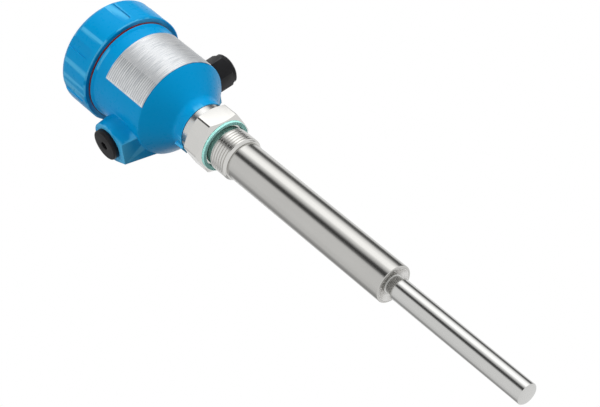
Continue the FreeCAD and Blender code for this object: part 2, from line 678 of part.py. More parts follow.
def housing_shell():
    """Outside of the casting: neck, shoulder, barrel, rim and spigot."""
    neck_corner = (S.neck_radius_out, f"({NECK_END} + {S.neck_length})")
    barrel_corner = (S.body_radius, SHOULDER)
    rim = f"({S.body_radius} + {S.rim_lip})"
    return turned("shell", [
        ("0", NECK_END),
        (S.neck_radius_out, NECK_END),
    ] + bend(neck_corner, S.neck_blend, S.shoulder_slope, -1)
      + bend(barrel_corner, S.shoulder_blend, S.shoulder_slope, 1) + [
        (S.body_radius, f"{FLANGE_TOP} - {S.rim_height}"),
        (rim, f"{FLANGE_TOP} - {S.rim_height} / 2"),
        (rim, FLANGE_TOP),
        (SPIGOT, FLANGE_TOP),
        (SPIGOT, f"{FLANGE_TOP} + {S.spigot_height}"),
        ("0", f"{FLANGE_TOP} + {S.spigot_height}"),
    ])


def lock_frame(distance):
    """Place of a point on the lock screw's axis, at a distance from Z."""
    return (
        f"({distance}) * cos({S.lug_turn})",
        f"({distance}) * sin({S.lug_turn})",
        LOCK_LEVEL,
    )


def lock_rotation():
    return about_z(value(S.lug_turn)) * TO_GLAND


def housing_body():
    """The whole casting, bored and tapped."""
    lug = box(
        "lug", f"{LUG_FACE} - {S.pivot_radius}", S.lug_width, S.lug_height,
        (
            f"{S.pivot_radius} * cos({S.lug_turn}) + {S.lug_width} / 2 * sin({S.lug_turn})",
            f"{S.pivot_radius} * sin({S.lug_turn}) - {S.lug_width} / 2 * cos({S.lug_turn})",
            NECK_END,
        ), about_z(value(S.lug_turn)))
    bosses = [entry_boss("plug_boss", -1, PLUG_FACE), entry_boss("gland_boss", 1, GLAND_FACE)]
    outside = fused("casting_outside", [housing_shell(), lug] + bosses)
    cavity = turned("cavity", [
        ("0", FLOOR),
        (f"{CAVITY} - {S.floor_step}", FLOOR),
        (CAVITY, f"{FLOOR} + {S.floor_step}"),
        (CAVITY, f"{FLANGE_TOP} + {S.spigot_height} + {SPARE}"),
        ("0", f"{FLANGE_TOP} + {S.spigot_height} + {SPARE}"),
    ])
    posts = []
    for side in (-1, 1):
        posts.append(cylinder(
            f"post_{side + 1}", S.post_radius, f"{S.post_height} + {S.floor_thickness} / 2",
            ("0", f"{side} * {POST_PLACE}", f"{FLOOR} - {S.floor_thickness} / 2")))
    chamber = cut("chamber", cavity, posts)
    pivot_bore = f"({S.pivot_radius} + {S.swivel_play})"
    tools = [
        cylinder("pivot_bore", pivot_bore, f"{PIVOT_ROOF} - {NECK_END} + {SPARE}",
                 ("0", "0", f"{NECK_END} - {SPARE}")),
        cylinder("lead_hole", S.lead_bore, f"{FLOOR} - {NECK_END} + {SPARE}",
                 ("0", "0", NECK_END)),
        cylinder("gland_hole", S.entry_radius, f"{GLAND_FACE} - {BOSS_ROOT} + {SPARE}",
                 (BOSS_ROOT, ENTRY_PLACE, ENTRY_LEVEL), TO_GLAND),
        cylinder("plug_hole", S.entry_radius, f"{PLUG_FACE} - {BOSS_ROOT} + {SPARE}",
                 (f"-{BOSS_ROOT}", ENTRY_PLACE, ENTRY_LEVEL), TO_PLUG),
        cylinder("lock_hole", f"{S.lock_radius} + {S.lock_play}",
                 f"{LUG_FACE} - {S.lead_bore} + {SPARE}",
                 lock_frame(S.lead_bore), lock_rotation()),
        cylinder("earth_hole", f"{S.earth_screw_radius} + {S.earth_screw_play}",
                 f"{S.earth_screw_depth} + {SPARE}",
                 ("0", EARTH_PLACE, f"{FLOOR} - {S.earth_screw_depth}")),
    ]
    for side in (-1, 1):
        tools.append(cylinder(
            f"post_hole_{side + 1}", f"{S.screw_radius} + {S.screw_play}",
            f"{S.screw_reach} + {SPARE}",
            ("0", f"{side} * {POST_PLACE}", f"{POST_TOP} - {S.screw_reach} - {S.lead_gap}")))
    node("housing_body", cut("casting", outside, [chamber] + tools))


def lock_screw():
    """Set screw with a pointed tip that stops the housing from turning."""
    length = f"({LUG_FACE} - {S.lock_sink} - {LOCK_TIP})"
    shank = turned("lock_shank", [
        ("0", "0"),
        (f"{S.lock_radius} / 2", "0"),
        (S.lock_radius, f"{S.lock_radius} / 2"),
        (S.lock_radius, length),
        ("0", length),
    ], lock_frame(LOCK_TIP), lock_rotation())
    socket = hexagon(
        "lock_socket", S.lock_socket, f"{S.lock_socket_depth} + {SPARE}",
        lock_frame(f"{LUG_FACE} - {S.lock_sink} - {S.lock_socket_depth}"), lock_rotation())
    node("lock_screw", cut("lock_screw_cut", shank, [socket]))


def finger_flute(index):
    """Tool for one shallow flute with a rounded lower end."""
    half = f"({S.flute_width} / 2)"
    foot = f"({COVER_FOOT} + {S.flute_start})"
    body = doc.addObject("PartDesign::Body", f"flute_{index}")
    sketch = outline_sketch(body, f"flute_{index}_outline", "YZ_Plane", [
        (f"-{half}", f"{COVER_TOP} + {SPARE}"),
        (f"-{half}", f"{foot} + {S.flute_corner}",
         (f"-{half} + {S.flute_corner} * (1 - cos(45))",
          f"{foot} + {S.flute_corner} * (1 - sin(45))", S.flute_corner)),
        (f"-{half} + {S.flute_corner}", foot),
        (f"{half} - {S.flute_corner}", foot,
         (f"{half} - {S.flute_corner} * (1 - cos(45))",
          f"{foot} + {S.flute_corner} * (1 - sin(45))", S.flute_corner)),
        (half, f"{foot} + {S.flute_corner}"),
        (half, f"{COVER_TOP} + {SPARE}"),
    ], offset=f"{COVER_FLAT} - {S.flute_depth}")
    pad = body.newObject("PartDesign::Pad", f"flute_{index}_pad")
    pad.Profile = sketch
    bind(pad, Length=SPARE)
    body.Tip = pad
    return body


def screw_cover():
    """Cast cover with seven faces that meet in ridges, each with a flute."""
    edge_centre = f"({COVER_RIDGE} - {S.cover_round})"
    inside = f"({SPIGOT} - {S.cover_step})"
    bore = f"({SPIGOT} + {S.cover_play})"
    edge_level = f"({COVER_TOP} - {S.cover_round})"
    thing = turned("cover_blank", [
        ("0", f"{COVER_TOP} - {S.cover_roof}"),
        (inside, f"{COVER_TOP} - {S.cover_roof}"),
        (inside, f"{COVER_FOOT} + {S.cover_thread}"),
        (bore, f"{COVER_FOOT} + {S.cover_thread}"),
        (bore, COVER_FOOT),
        (f"{COVER_RIDGE} - {S.cover_edge}", COVER_FOOT),
        (COVER_RIDGE, f"{COVER_FOOT} + {S.cover_edge}"),
        (COVER_RIDGE, edge_level,
         (f"{edge_centre} + {S.cover_round} * cos(45)",
          f"{edge_level} + {S.cover_round} * sin(45)", S.cover_round)),
        (edge_centre, COVER_TOP),
        ("0", COVER_TOP),
    ])
    step = FULL_TURN / RIDGES
    half_step = step / 2
    ridge, flat = COVER_RIDGE, COVER_FLAT
    shift = f"(({ridge}^2 - {flat}^2) / (2 * ({flat} - {ridge} * cos({half_step}))))"
    flutes = []
    for index in range(RIDGES):
        azimuth = value(S.cover_ridge) + step * (index + 0.5)
        face = cylinder(
            f"grip_face_{index}", f"{flat} + {shift}", f"{S.cover_height} + 2 * {SPARE}",
            (f"-{shift} * cos({azimuth})", f"-{shift} * sin({azimuth})", f"{COVER_FOOT} - {SPARE}"))
        thing = common(f"cover_face_{index}", thing, face)
        flute = finger_flute(index)
        place(flute, ("0", "0", "0"), about_z(azimuth + value(S.flute_turn)))
        flutes.append(flute)
    node("screw_cover", cut("cover", thing, flutes))


def cover_seal():
    node("cover_seal", ring(
        "cover_ring", RING_INSIDE, f"{RING_INSIDE} + {S.ring_width}", FLANGE_TOP, COVER_FOOT))


def nameplate():
    """Thin plate bent round the barrel."""
    inner = f"({S.body_radius} + {S.plate_glue})"
    start = about_z(value(S.plate_start))
    sheet_metal = cylinder("plate_outside", f"{inner} + {S.plate_thickness}", S.plate_height,
                           ("0", "0", SHOULDER), start)
    bind(sheet_metal, Angle=S.plate_sweep)
    core = cylinder("plate_inside", inner, f"{S.plate_height} + 2 * {SPARE}",
                    ("0", "0", f"{SHOULDER} - {SPARE}"), start)
    node("nameplate", cut("plate", sheet_metal, [core]))


def cable_gland():
    """Gland body, flat ring, clamping seal and domed nut on the +X entry."""
    at = ("0", ENTRY_PLACE, ENTRY_LEVEL)
    spin = TO_GLAND * about_z(value(S.gland_turn))
    tail = f"({GLAND_HEX} - {S.gland_tail})"
    core = turned("gland_core", [
        (S.gland_bore, tail),
        (f"{S.entry_radius} - {S.entry_play}", tail),
        (f"{S.entry_radius} - {S.entry_play}", GLAND_HEX),
        (S.gland_thread, GLAND_HEX),
        (S.gland_thread, GLAND_END),
        (S.gland_seat, GLAND_END),
        (S.gland_seat, CLAMP_START),
        (S.gland_bore, CLAMP_START),
    ], at, TO_GLAND)
    hex_bar = hexagon("gland_hex_bar", S.gland_flats, S.gland_hex_height,
                      (GLAND_HEX, ENTRY_PLACE, ENTRY_LEVEL), spin)
    hex_hole = cylinder("gland_hex_hole", S.gland_bore, f"{S.gland_hex_height} + 2 * {SPARE}",
                        (f"{GLAND_HEX} - {SPARE}", ENTRY_PLACE, ENTRY_LEVEL), TO_GLAND)
    hex_ring = cut("gland_hex_ring", hex_bar, [hex_hole])
    node("gland_body", fused("gland_solid", [core, hex_ring]))
    node("gland_ring", ring("gland_flat_ring", S.gland_ring_inner, S.gland_ring_outer,
                            GLAND_FACE, GLAND_HEX, TO_GLAND, at))
    node("gland_seal", ring("clamping_seal", S.clamp_bore, S.clamp_radius,
                            CLAMP_START, CLAMP_END, TO_GLAND, at))
    nut_bar = hexagon("nut_bar", S.gland_flats, S.nut_length,
                      (NUT_FOOT, ENTRY_PLACE, ENTRY_LEVEL), spin)
    corner = f"({S.gland_flats} / sqrt(3))"
    straight = f"({NUT_FOOT} + {S.nut_straight})"
    brow = f"({straight} + {corner} - {S.nut_brow})"
    dome = turned("nut_dome", [
        (S.nut_throat, f"{CLAMP_END} + {S.clamp_gap}"),
        (f"{S.clamp_radius} + {S.clamp_gap}", f"{CLAMP_END} + {S.clamp_gap}"),
        (f"{S.gland_thread} + {S.entry_play}", f"{GLAND_END} + {S.nut_gap}"),
        (f"{S.gland_thread} + {S.entry_play}", NUT_FOOT),
        (corner, NUT_FOOT),
        (corner, straight),
        (S.nut_brow, brow),
        (S.nut_brow, f"{brow} + {S.nut_collar}"),
        (S.nut_face, NUT_END),
        (S.nut_throat, NUT_END),
    ], at, TO_GLAND)
    node("gland_nut", common("nut", nut_bar, dome))


def blanking_plug():
    """Screwed plug with a socket, and its flat ring, on the -X entry."""
    at = ("0", ENTRY_PLACE, ENTRY_LEVEL)
    crown = f"({PLUG_SEAT} + {S.plug_head_height})"
    body = turned("plug_body", [
        ("0", f"{PLUG_SEAT} - {S.plug_shank}"),
        (f"{S.entry_radius} - {S.entry_play}", f"{PLUG_SEAT} - {S.plug_shank}"),
        (f"{S.entry_radius} - {S.entry_play}", PLUG_SEAT),
        (S.plug_head, PLUG_SEAT),
        (S.plug_head, f"{crown} - {S.plug_edge}"),
        (f"{S.plug_head} - {S.plug_edge}", crown),
        ("0", crown),
    ], at, TO_PLUG)
    socket = hexagon("plug_socket", S.plug_socket, f"{S.plug_socket_depth} + {SPARE}",
                     (f"-({crown} - {S.plug_socket_depth})", ENTRY_PLACE, ENTRY_LEVEL), TO_PLUG)
    node("blanking_plug", cut("plug", body, [socket]))
    node("plug_seal", ring("plug_flat_ring", S.plug_ring_inner, S.plug_ring_outer,
                           PLUG_FACE, PLUG_SEAT, TO_PLUG, at))


def electronics_insert():
    """Round plastic case on the two posts, with its board and screws."""
    inside = f"({INSERT_RADIUS} - {S.insert_wall})"
    roof = f"({INSERT_TOP} - {S.insert_wall})"
    case = turned("insert_case", [
        (inside, POST_TOP),
        (INSERT_RADIUS, POST_TOP),
        (INSERT_RADIUS, INSERT_TOP),
        ("0", INSERT_TOP),
        ("0", roof),
        (inside, roof),
    ])
    columns, holes, board_holes, screws = [], [], [], []
    board_low = f"({POST_TOP} + {S.board_level})"
    head_top = f"({INSERT_TOP} + {S.screw_head_height})"
    shank_foot = f"({POST_TOP} - {S.screw_reach})"
    for side in (-1, 1):
        name = f"{side + 1}"
        at = f"{side} * {POST_PLACE}"
        columns.append(cylinder(f"column_{name}", S.post_radius, f"{roof} - {POST_TOP}",
                                ("0", at, POST_TOP)))
        holes.append(cylinder(f"column_hole_{name}", S.insert_hole, f"{S.insert_height} + 2 * {SPARE}",
                              ("0", at, f"{POST_TOP} - {SPARE}")))
        board_holes.append(cylinder(
            f"board_hole_{name}", f"{S.post_radius} + {S.board_gap}",
            f"{S.board_thickness} + 2 * {SPARE}", ("0", at, f"{board_low} - {SPARE}")))
        screw = turned(f"screw_{name}", [
            ("0", shank_foot),
            (S.screw_radius, shank_foot),
            (S.screw_radius, INSERT_TOP),
            (S.screw_head, INSERT_TOP),
            (S.screw_head, head_top),
            ("0", head_top),
        ], ("0", at, "0"))
        screws.append(slotted(f"insert_screw_{name}", screw, S.screw_head, ("0", at), head_top))
    node("electronics_insert", cut("insert", fused("insert_solid", [case] + columns), holes))
    board = cylinder("board", f"{inside} - {S.board_gap}", S.board_thickness, ("0", "0", board_low))
    node("circuit_board", cut("board_cut", board, board_holes))
    node("insert_screws", group("insert_screw_set", screws))


def slotted(name, screw, head, at, top):
    """Cuts a screwdriver slot along X into a screw's head."""
    slot = box(name + "_slot", f"2 * {head} + {SPARE}", S.drive_width, f"{S.drive_depth} + {SPARE}",
               (f"{at[0]} - {head} - {SPARE} / 2", f"{at[1]} - {S.drive_width} / 2",
                f"{top} - {S.drive_depth}"))
    return cut(name, screw, [slot])


def terminal_block():
    """Block with a row of screws over a row of conductor openings."""
    block = box("block", S.block_length, S.block_width, S.block_height,
                (f"-{S.block_length} / 2", f"{S.block_place} - {S.block_width} / 2", INSERT_TOP))
    top = f"({INSERT_TOP} + {S.block_height})"
    hole_floor = f"({top} - {S.terminal_hole_depth})"
    screw_top = f"({hole_floor} + {S.terminal_screw_height})"
    tools, screws = [], []
    for index in range(TERMINALS):
        across = f"({index - (TERMINALS - 1) / 2} * {S.terminal_pitch})"
        tools.append(cylinder(f"terminal_hole_{index}", S.terminal_hole,
                              f"{S.terminal_hole_depth} + {SPARE}",
                              (across, S.block_place, hole_floor)))
        tools.append(box(
            f"terminal_mouth_{index}", S.terminal_mouth, f"{S.block_width} / 2",
            S.terminal_mouth_height,
            (f"{across} - {S.terminal_mouth} / 2",
             f"{S.block_place} - {S.block_width} / 2 - {S.drive_width}",
             f"{INSERT_TOP} + {S.drive_width}")))
        screw = cylinder(f"terminal_screw_body_{index}", S.terminal_screw, S.terminal_screw_height,
                         (across, S.block_place, hole_floor))
        screws.append(slotted(f"terminal_screw_{index}", screw, S.terminal_screw,
                              (across, S.block_place), screw_top))
    node("terminal_block", cut("block_cut", block, tools))
    node("terminal_screws", group("terminal_screw_set", screws))


def switches_and_lamp():
    """Two slide switches and a status lamp on the insert."""
    block = box("switch_body", S.switch_length, S.switch_width, S.switch_height,
                (f"-{S.switch_length} / 2", f"{S.switch_place} - {S.switch_width} / 2", INSERT_TOP))
    slot_length = f"({S.slider_length} + {S.slider_travel} + 2 * {S.slider_play})"
    slot_width = f"({S.slider_width} + 2 * {S.slider_play})"
    slot_floor = f"({INSERT_TOP} + {S.switch_height} - {S.slider_sink})"
    slots = []
    for side, name in ((-1, "failsafe_slider"), (1, "density_slider")):
        across = f"({side} * {S.slider_spacing} / 2)"
        start = f"({S.switch_place} - ({S.slider_length} + {S.slider_travel}) / 2)"
        slots.append(box(
            name + "_slot", slot_width, slot_length, f"{S.slider_sink} + {SPARE}",
            (f"{across} - {slot_width} / 2", f"{start} - {S.slider_play}", slot_floor)))
        slider = box(name + "_knob", S.slider_width, S.slider_length, S.slider_height,
                     (f"{across} - {S.slider_width} / 2", start, f"{slot_floor} + {S.slider_play}"))
        node(name, slider)
    node("switch_block", cut("switch_cut", block, slots))
    node("status_lamp", cylinder("lamp", S.lamp_radius, S.lamp_height,
                                 (S.lamp_place, S.switch_place, INSERT_TOP)))


def earth_terminal():
    """Clamp and screw for the protective conductor on the housing's floor."""
    clamp_top = f"({FLOOR} + {S.earth_clamp_thickness})"
    head_top = f"({clamp_top} + {S.earth_head_height})"
    at = ("0", EARTH_PLACE, "0")
    node("earth_clamp", ring("earth_washer", f"{S.earth_screw_radius} + {S.earth_screw_play}",
                             S.earth_clamp_radius, FLOOR, clamp_top, base=at))
    screw = turned("earth_screw_body", [
        ("0", f"{FLOOR} - {S.earth_screw_depth}"),
        (S.earth_screw_radius, f"{FLOOR} - {S.earth_screw_depth}"),
        (S.earth_screw_radius, clamp_top),
        (S.earth_head_radius, clamp_top),
        (S.earth_head_radius, head_top),
        ("0", head_top),
    ], at)
    node("earth_screw", slotted("earth_screw_cut", screw, S.earth_head_radius,
                                ("0", EARTH_PLACE), head_top))


process_fitting()
process_gasket()
neck_seal()
probe_tube()
diaphragm()
vibrating_rod()
drive_stack()
housing_body()
lock_screw()
screw_cover()
cover_seal()
nameplate()
cable_gland()
blanking_plug()
electronics_insert()
terminal_block()
switches_and_lamp()
earth_terminal()
doc.recompute()

for thing in doc.Objects:
    if any(word in thing.State for word in ("Invalid", "Error")):
        raise RuntimeError(f"{thing.Label} failed: {thing.State}")
for name, thing in NODES:
    if thing.Shape.isNull() or not thing.Shape.isValid() or not thing.Shape.Solids:
        raise RuntimeError(f"{name} has no valid solid")

os.makedirs("parts", exist_ok=True)
for name, thing in NODES:
    thing.Shape.exportStep(os.path.join("parts", name + ".step"))
    print(f"{name:20} solids {len(thing.Shape.Solids):2}  volume {thing.Shape.Volume:12.2f} mm3")
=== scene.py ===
"""Vibrating rod level switch: a coaxial rod on an extension tube under a blue cast housing."""
import json
import math

import bpy
from mathutils import Matrix, Vector

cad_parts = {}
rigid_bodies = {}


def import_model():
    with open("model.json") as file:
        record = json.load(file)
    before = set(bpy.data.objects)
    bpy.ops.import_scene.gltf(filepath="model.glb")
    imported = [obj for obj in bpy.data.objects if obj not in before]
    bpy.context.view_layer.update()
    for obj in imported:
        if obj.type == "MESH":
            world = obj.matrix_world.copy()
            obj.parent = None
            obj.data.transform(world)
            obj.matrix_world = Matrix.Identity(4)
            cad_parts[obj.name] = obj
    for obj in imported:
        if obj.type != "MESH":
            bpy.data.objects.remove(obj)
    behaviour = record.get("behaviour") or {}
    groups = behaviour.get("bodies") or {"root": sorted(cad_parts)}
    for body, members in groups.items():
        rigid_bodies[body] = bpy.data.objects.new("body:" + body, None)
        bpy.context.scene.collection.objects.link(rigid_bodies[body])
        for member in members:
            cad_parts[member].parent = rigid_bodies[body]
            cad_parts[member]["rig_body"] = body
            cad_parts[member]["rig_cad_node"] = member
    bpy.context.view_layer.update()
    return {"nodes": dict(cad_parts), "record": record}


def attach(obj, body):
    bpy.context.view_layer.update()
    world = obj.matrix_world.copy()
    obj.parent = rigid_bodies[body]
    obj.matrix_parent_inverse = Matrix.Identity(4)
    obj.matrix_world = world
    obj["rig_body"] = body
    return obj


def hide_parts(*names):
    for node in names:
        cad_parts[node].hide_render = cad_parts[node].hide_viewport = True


bl_info = {
    "name": "Rod Level Switch",
    "version": (1, 0, 0),
    "blender": (4, 5, 0),
    "location": "3D View > Sidebar > Level Switch",
    "description": "Dresses the CAD model of a vibrating rod level switch and sets its studio",
    "category": "Object",
}

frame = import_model()
NODES = frame["nodes"]
MM = 0.001

# Copies of CAD nodes: seams closer than this are merged, and flatter joins are dissolved
MERGE_GAP = 0.002 * MM
FLAT_JOIN = math.radians(0.4)
# Rounded edges: steps across one, and the turn in degrees from which an edge is sharp.
# Shading stays smooth up to a slightly larger turn.
EASE_STEPS = 3
SMOOTH_MARGIN = 2.0
SHARP = 32.0
SHARP_ON_FITTING = 25.0
SHARP_ON_COVER = 14.0
# The cover's shallow flutes take a narrower rounding than the rest of the casting
COVER_EASE = 0.8
GASKET_EDGE = 0.45 * MM

# Levels of the thread's two ends, from the sealing face, and the chamfer at its tip
THREAD_FOOT = -4.6 * MM
THREAD_TIP = -20.95 * MM
THREAD_LEAD_IN = 1.6 * MM
THREAD_STEPS = 96
THREAD_WELD = 0.001 * MM
# Cuts along one ridge, and the shares of its wave that lie in the root and on the flank
RIDGE_CUTS = 15
ROOT_SHARE = 0.10
FLANK_SHARE = 0.38
# The chamfer at the upper end is this much smaller than the one at the tip
RUN_OUT = 0.4 * MM
# The plain cylinder under the thread: how far below its roots, and past its ends
CORE_SINK = 0.1 * MM
CORE_REACH = 0.2 * MM
# Distance of the flats' borders from the hexagon's upright edges
HEX_FLAT = 1.9 * MM
# What tells those six edges from all others: hardly any lean, a length and a radius
HEX_LEAN = 0.05 * MM
HEX_EDGE_LENGTH = 4.0 * MM
HEX_EDGE_RADIUS = 22.0 * MM

# Period of Blender's wave texture at scale 1, and the drawn distance of the turning rings
WAVE_PERIOD = 0.314
RING_PITCH = 0.4 * MM
# Size of one feature of each other pattern, as drawn: a pattern's scale is one over it
DRAWN_LINE = 0.6667 * MM
STEEL_CLOUD = 33.33 * MM
ORANGE_PEEL = 2.632 * MM
PAINT_CLOUD = 41.67 * MM
SPARK_GRAIN = 0.7692 * MM
MOULD_CLOUD = 11.11 * MM
FIBRE = 1.25 * MM
BLOOM = 6.25 * MM
SPECK = 0.7143 * MM
ROLL_MARK = 6.25 * MM
# One tile of the board's brick pattern: a track is half as long and a quarter as wide
TRACK_TILE = 3.125 * MM
FLOOR_MOTTLE = 166.7 * MM
# Extra scale of the drawn lines along the bar, and of the rolling marks across the sheet
DRAWN_SQUEEZE = 0.02
ROLL_SQUEEZE = 14.0
# Brush marks on the nameplate, round the barrel and up it
BRUSHES_PER_RADIAN = 2.6
BRUSHES_PER_MM = 3.4
# Ruled lines of the nameplate: pitch and width in millimetres, and the bearings of their ends
RULE_PITCH = 1.9
RULE_WIDTH = 0.6
RULE_START = math.radians(-141.5)
RULE_END = math.radians(-114.0)

FLOOR_SIZE = 14.0
FLOOR_LEVEL = -0.300
# Share of plain white in the floor as the eye sees it; the rest keeps the switch's shadow
FLOOR_WHITE = 0.82
CARD_RADIUS = 1.6
CARD_FOOT = -0.29
CARD_TOP = 2.6
CARD_START = -180.0
CARD_END = 180.0
# A colour ramp stops at 1, so the card's brightness is written as a share of this
CARD_FULL = 2.0
# Bearing in degrees and brightness there, where 1 is the white of the room
CARD_STOPS = (
    (-180.0, 0.95), (-134.0, 0.95), (-124.0, 0.85), (-117.0, 0.2), (-108.0, 0.04),
    (-98.0, 0.12), (-91.0, 0.6), (-82.0, 1.0), (-68.0, 1.75), (-50.0, 1.75), (-36.0, 1.4),
    (-24.0, 0.95), (-19.0, 0.4), (-10.0, 0.15), (0.0, 0.1), (8.0, 0.3), (18.0, 0.95),
    (80.0, 0.95), (98.0, 0.5), (112.0, 0.35), (126.0, 0.5), (146.0, 0.85), (180.0, 0.95),
)
# Name, bearing, rise, distance, width and height in metres, and power in watts
LAMPS = (
    ("key_softbox", -46.0, 2.0, 1.3, 0.8, 0.4, 14.0),
    ("left_softbox", 172.0, 8.0, 1.3, 0.8, 0.4, 4.5),
    ("fill_softbox", -125.0, 0.0, 1.3, 0.8, 0.4, 7.5),
)
LAMP_AIM = Vector((0.0, 0.0, 0.03))
# The photograph's camera, fitted to the outlines of the parts
EYE = Vector((-0.5420, -1.0151, -0.8272))
AIM = Vector((0.00178, -0.00095, -0.0784))
SENSOR_WIDTH = 36.0
NEAREST = 0.01
FARTHEST = 20.0


class SwitchFinish(bpy.types.PropertyGroup):
    """Sizes and colours of the switch's surfaces that a user would change."""

    machined_edge: bpy.props.FloatProperty(
        name="Machined Edge", description="Width of the broken edges on turned steel",
        subtype="DISTANCE", unit="LENGTH", min=0.0, default=0.25 * MM)
    cast_edge: bpy.props.FloatProperty(
        name="Cast Edge", description="Width of the rounded edges on the painted casting",
        subtype="DISTANCE", unit="LENGTH", min=0.0, default=0.7 * MM)
    moulded_edge: bpy.props.FloatProperty(
        name="Moulded Edge", description="Width of the rounded edges on moulded plastic",
        subtype="DISTANCE", unit="LENGTH", min=0.0, default=0.35 * MM)
    paint: bpy.props.StringProperty(
        name="Powder Coat", description="Colour of the housing as an sRGB hex value",
        default="0096D3")
    gasket: bpy.props.StringProperty(
        name="Gasket", description="Colour of the fibre gasket as an sRGB hex value",
        default="98ECE2")


class SwitchThread(bpy.types.PropertyGroup):
    """Sizes of the cut process thread."""

    pitch: bpy.props.FloatProperty(
        name="Pitch", description="Distance from one crest to the next",
        subtype="DISTANCE", unit="LENGTH", default=2.309 * MM)
    depth: bpy.props.FloatProperty(
        name="Depth", description="Height of the thread's ridges",
        subtype="DISTANCE", unit="LENGTH", default=0.8 * MM)
    crest: bpy.props.FloatProperty(
        name="Crest Radius", description="Radius over the crests",
        subtype="DISTANCE", unit="LENGTH", default=16.6 * MM)


class SwitchStage(bpy.types.PropertyGroup):
    """Camera and studio."""

    lens: bpy.props.FloatProperty(
        name="Lens", description="Focal length on a 36 mm wide sensor", min=1.0, default=123.83)
    roll: bpy.props.FloatProperty(
        name="Roll", description="Turn of the camera about its own view",
        subtype="ANGLE", unit="ROTATION", default=math.radians(-50.6))
    room: bpy.props.FloatProperty(
        name="Room", description="Brightness of the light that the white room gives",
        min=0.0, default=0.2)


def linear(code):
    """Turns an sRGB hex value into the linear colour that shaders take."""
    parts = [int(code[place:place + 2], 16) / 255.0 for place in (0, 2, 4)]
    bent = [c / 12.92 if c <= 0.04045 else ((c + 0.055) / 1.055) ** 2.4 for c in parts]
    return (*bent, 1.0)


def put(tree, kind, sockets=None, **settings):
    """Adds a shader node with its settings, and fills or links its sockets."""
    item = tree.nodes.new(kind)
    for name, setting in settings.items():
        setattr(item, name, setting)
    for socket, source in (sockets or {}).items():
        if isinstance(source, bpy.types.Node):
            source = next(out for out in source.outputs if out.enabled)
        if isinstance(source, bpy.types.NodeSocket):
            tree.links.new(source, item.inputs[socket])
        else:
            item.inputs[socket].default_value = source
    return item


def start_material(name):
    """A material with an empty tree, and the coordinates of its object."""
    material = bpy.data.materials.new(name)
    material.use_nodes = True
    tree = material.node_tree
    tree.nodes.clear()
    place = put(tree, "ShaderNodeTexCoord").outputs["Object"]
    return material, tree, place


def close_material(material, tree, shader):
    """Links the last shader to the output."""
    put(tree, "ShaderNodeOutputMaterial", {"Surface": shader})
    return material


def turned_steel(name, colour="C4C3C0", shade="B8B7B4", rough=0.16, faced=False):
    """Austenitic stainless steel, turned and then drawn smooth.

    Fine rings of the tool run round the axis, so a reflection stays crisp
    round the bar and is spread a little along it, and drawing leaves faint
    lines along the bar. A faced end has its rings round its middle instead.
    The real feed is about 0.1 mm and the real lines are finer still; the rings
    are drawn 0.4 mm apart and the lines 0.7 mm wide, so that they show.
    """
    material, tree, place = start_material(name)
    rings = put(tree, "ShaderNodeTexWave", {
        "Vector": place, "Scale": WAVE_PERIOD / RING_PITCH, "Distortion": 0.0,
    }, wave_type="RINGS" if faced else "BANDS", bands_direction="Z", rings_direction="Z")
    drawn = put(tree, "ShaderNodeMapping", {"Vector": place, "Scale": (1.0, 1.0, DRAWN_SQUEEZE)})
    lines = put(tree, "ShaderNodeTexNoise", {
        "Vector": drawn, "Scale": 1.0 / DRAWN_LINE, "Detail": 2.0, "Roughness": 0.5})
    cloud = put(tree, "ShaderNodeTexNoise", {
        "Vector": place, "Scale": 1.0 / STEEL_CLOUD, "Detail": 2.0})
    bump = put(tree, "ShaderNodeBump", {
        "Height": rings.outputs["Fac"], "Strength": 0.015 if faced else 0.05,
        "Distance": 0.03 * MM})
    blotch = put(tree, "ShaderNodeMix", {
        0: 0.4, 2: cloud.outputs["Fac"], 3: lines.outputs["Fac"]}, data_type="FLOAT")
    tone = put(tree, "ShaderNodeMix", {
        0: blotch.outputs[0], 6: linear(shade), 7: linear(colour)}, data_type="RGBA")
    gloss = put(tree, "ShaderNodeMapRange", {
        "Value": lines.outputs["Fac"], "From Min": 0.3, "From Max": 0.7,
        "To Min": rough * 0.85, "To Max": rough * 1.15})
    return close_material(material, tree, put(tree, "ShaderNodeBsdfPrincipled", {
        "Base Color": tone.outputs[2], "Metallic": 1.0, "Roughness": gloss, "Normal": bump}))


def powder_coat(name, colour):
    """Polyester powder coat on a die casting.

    The colour is even and strong under a soft gloss with faint orange peel of
    its real size, and its edges carry a painted highlight: they are painted a
    paler blue, as if they caught the light.
    """
    material, tree, place = start_material(name)
    peel = put(tree, "ShaderNodeTexNoise", {
        "Vector": place, "Scale": 1.0 / ORANGE_PEEL, "Detail": 2.0, "Roughness": 0.45})
    cloud = put(tree, "ShaderNodeTexNoise", {
        "Vector": place, "Scale": 1.0 / PAINT_CLOUD, "Detail": 2.0})
    bump = put(tree, "ShaderNodeBump", {
        "Height": peel.outputs["Fac"], "Strength": 0.05, "Distance": 0.10 * MM})
    full = linear(colour)
    tone = put(tree, "ShaderNodeMix", {
        0: cloud.outputs["Fac"], 6: tuple(c * 0.96 for c in full[:3]) + (1.0,), 7: full},
        data_type="RGBA")
    form = put(tree, "ShaderNodeNewGeometry")
    # Painted highlight: sharp edges, found by pointiness, are painted a paler blue in place of
    # the light that rounded edges catch
    edge = put(tree, "ShaderNodeMapRange", {
        "Value": form.outputs["Pointiness"], "From Min": 0.52, "From Max": 0.60,
        "To Min": 0.0, "To Max": 0.6})
    streaks_and_painted_highlight = put(tree, "ShaderNodeMix", {
        0: edge.outputs["Result"], 6: tone.outputs[2], 7: linear("5FC4EE")}, data_type="RGBA")
    gloss = put(tree, "ShaderNodeMapRange", {
        "Value": peel.outputs["Fac"], "From Min": 0.3, "From Max": 0.7,
        "To Min": 0.26, "To Max": 0.34})
    return close_material(material, tree, put(tree, "ShaderNodeBsdfPrincipled", {
        "Base Color": streaks_and_painted_highlight.outputs[2], "Roughness": gloss, "IOR": 1.5,
        "Specular IOR Level": 0.08, "Normal": bump}))


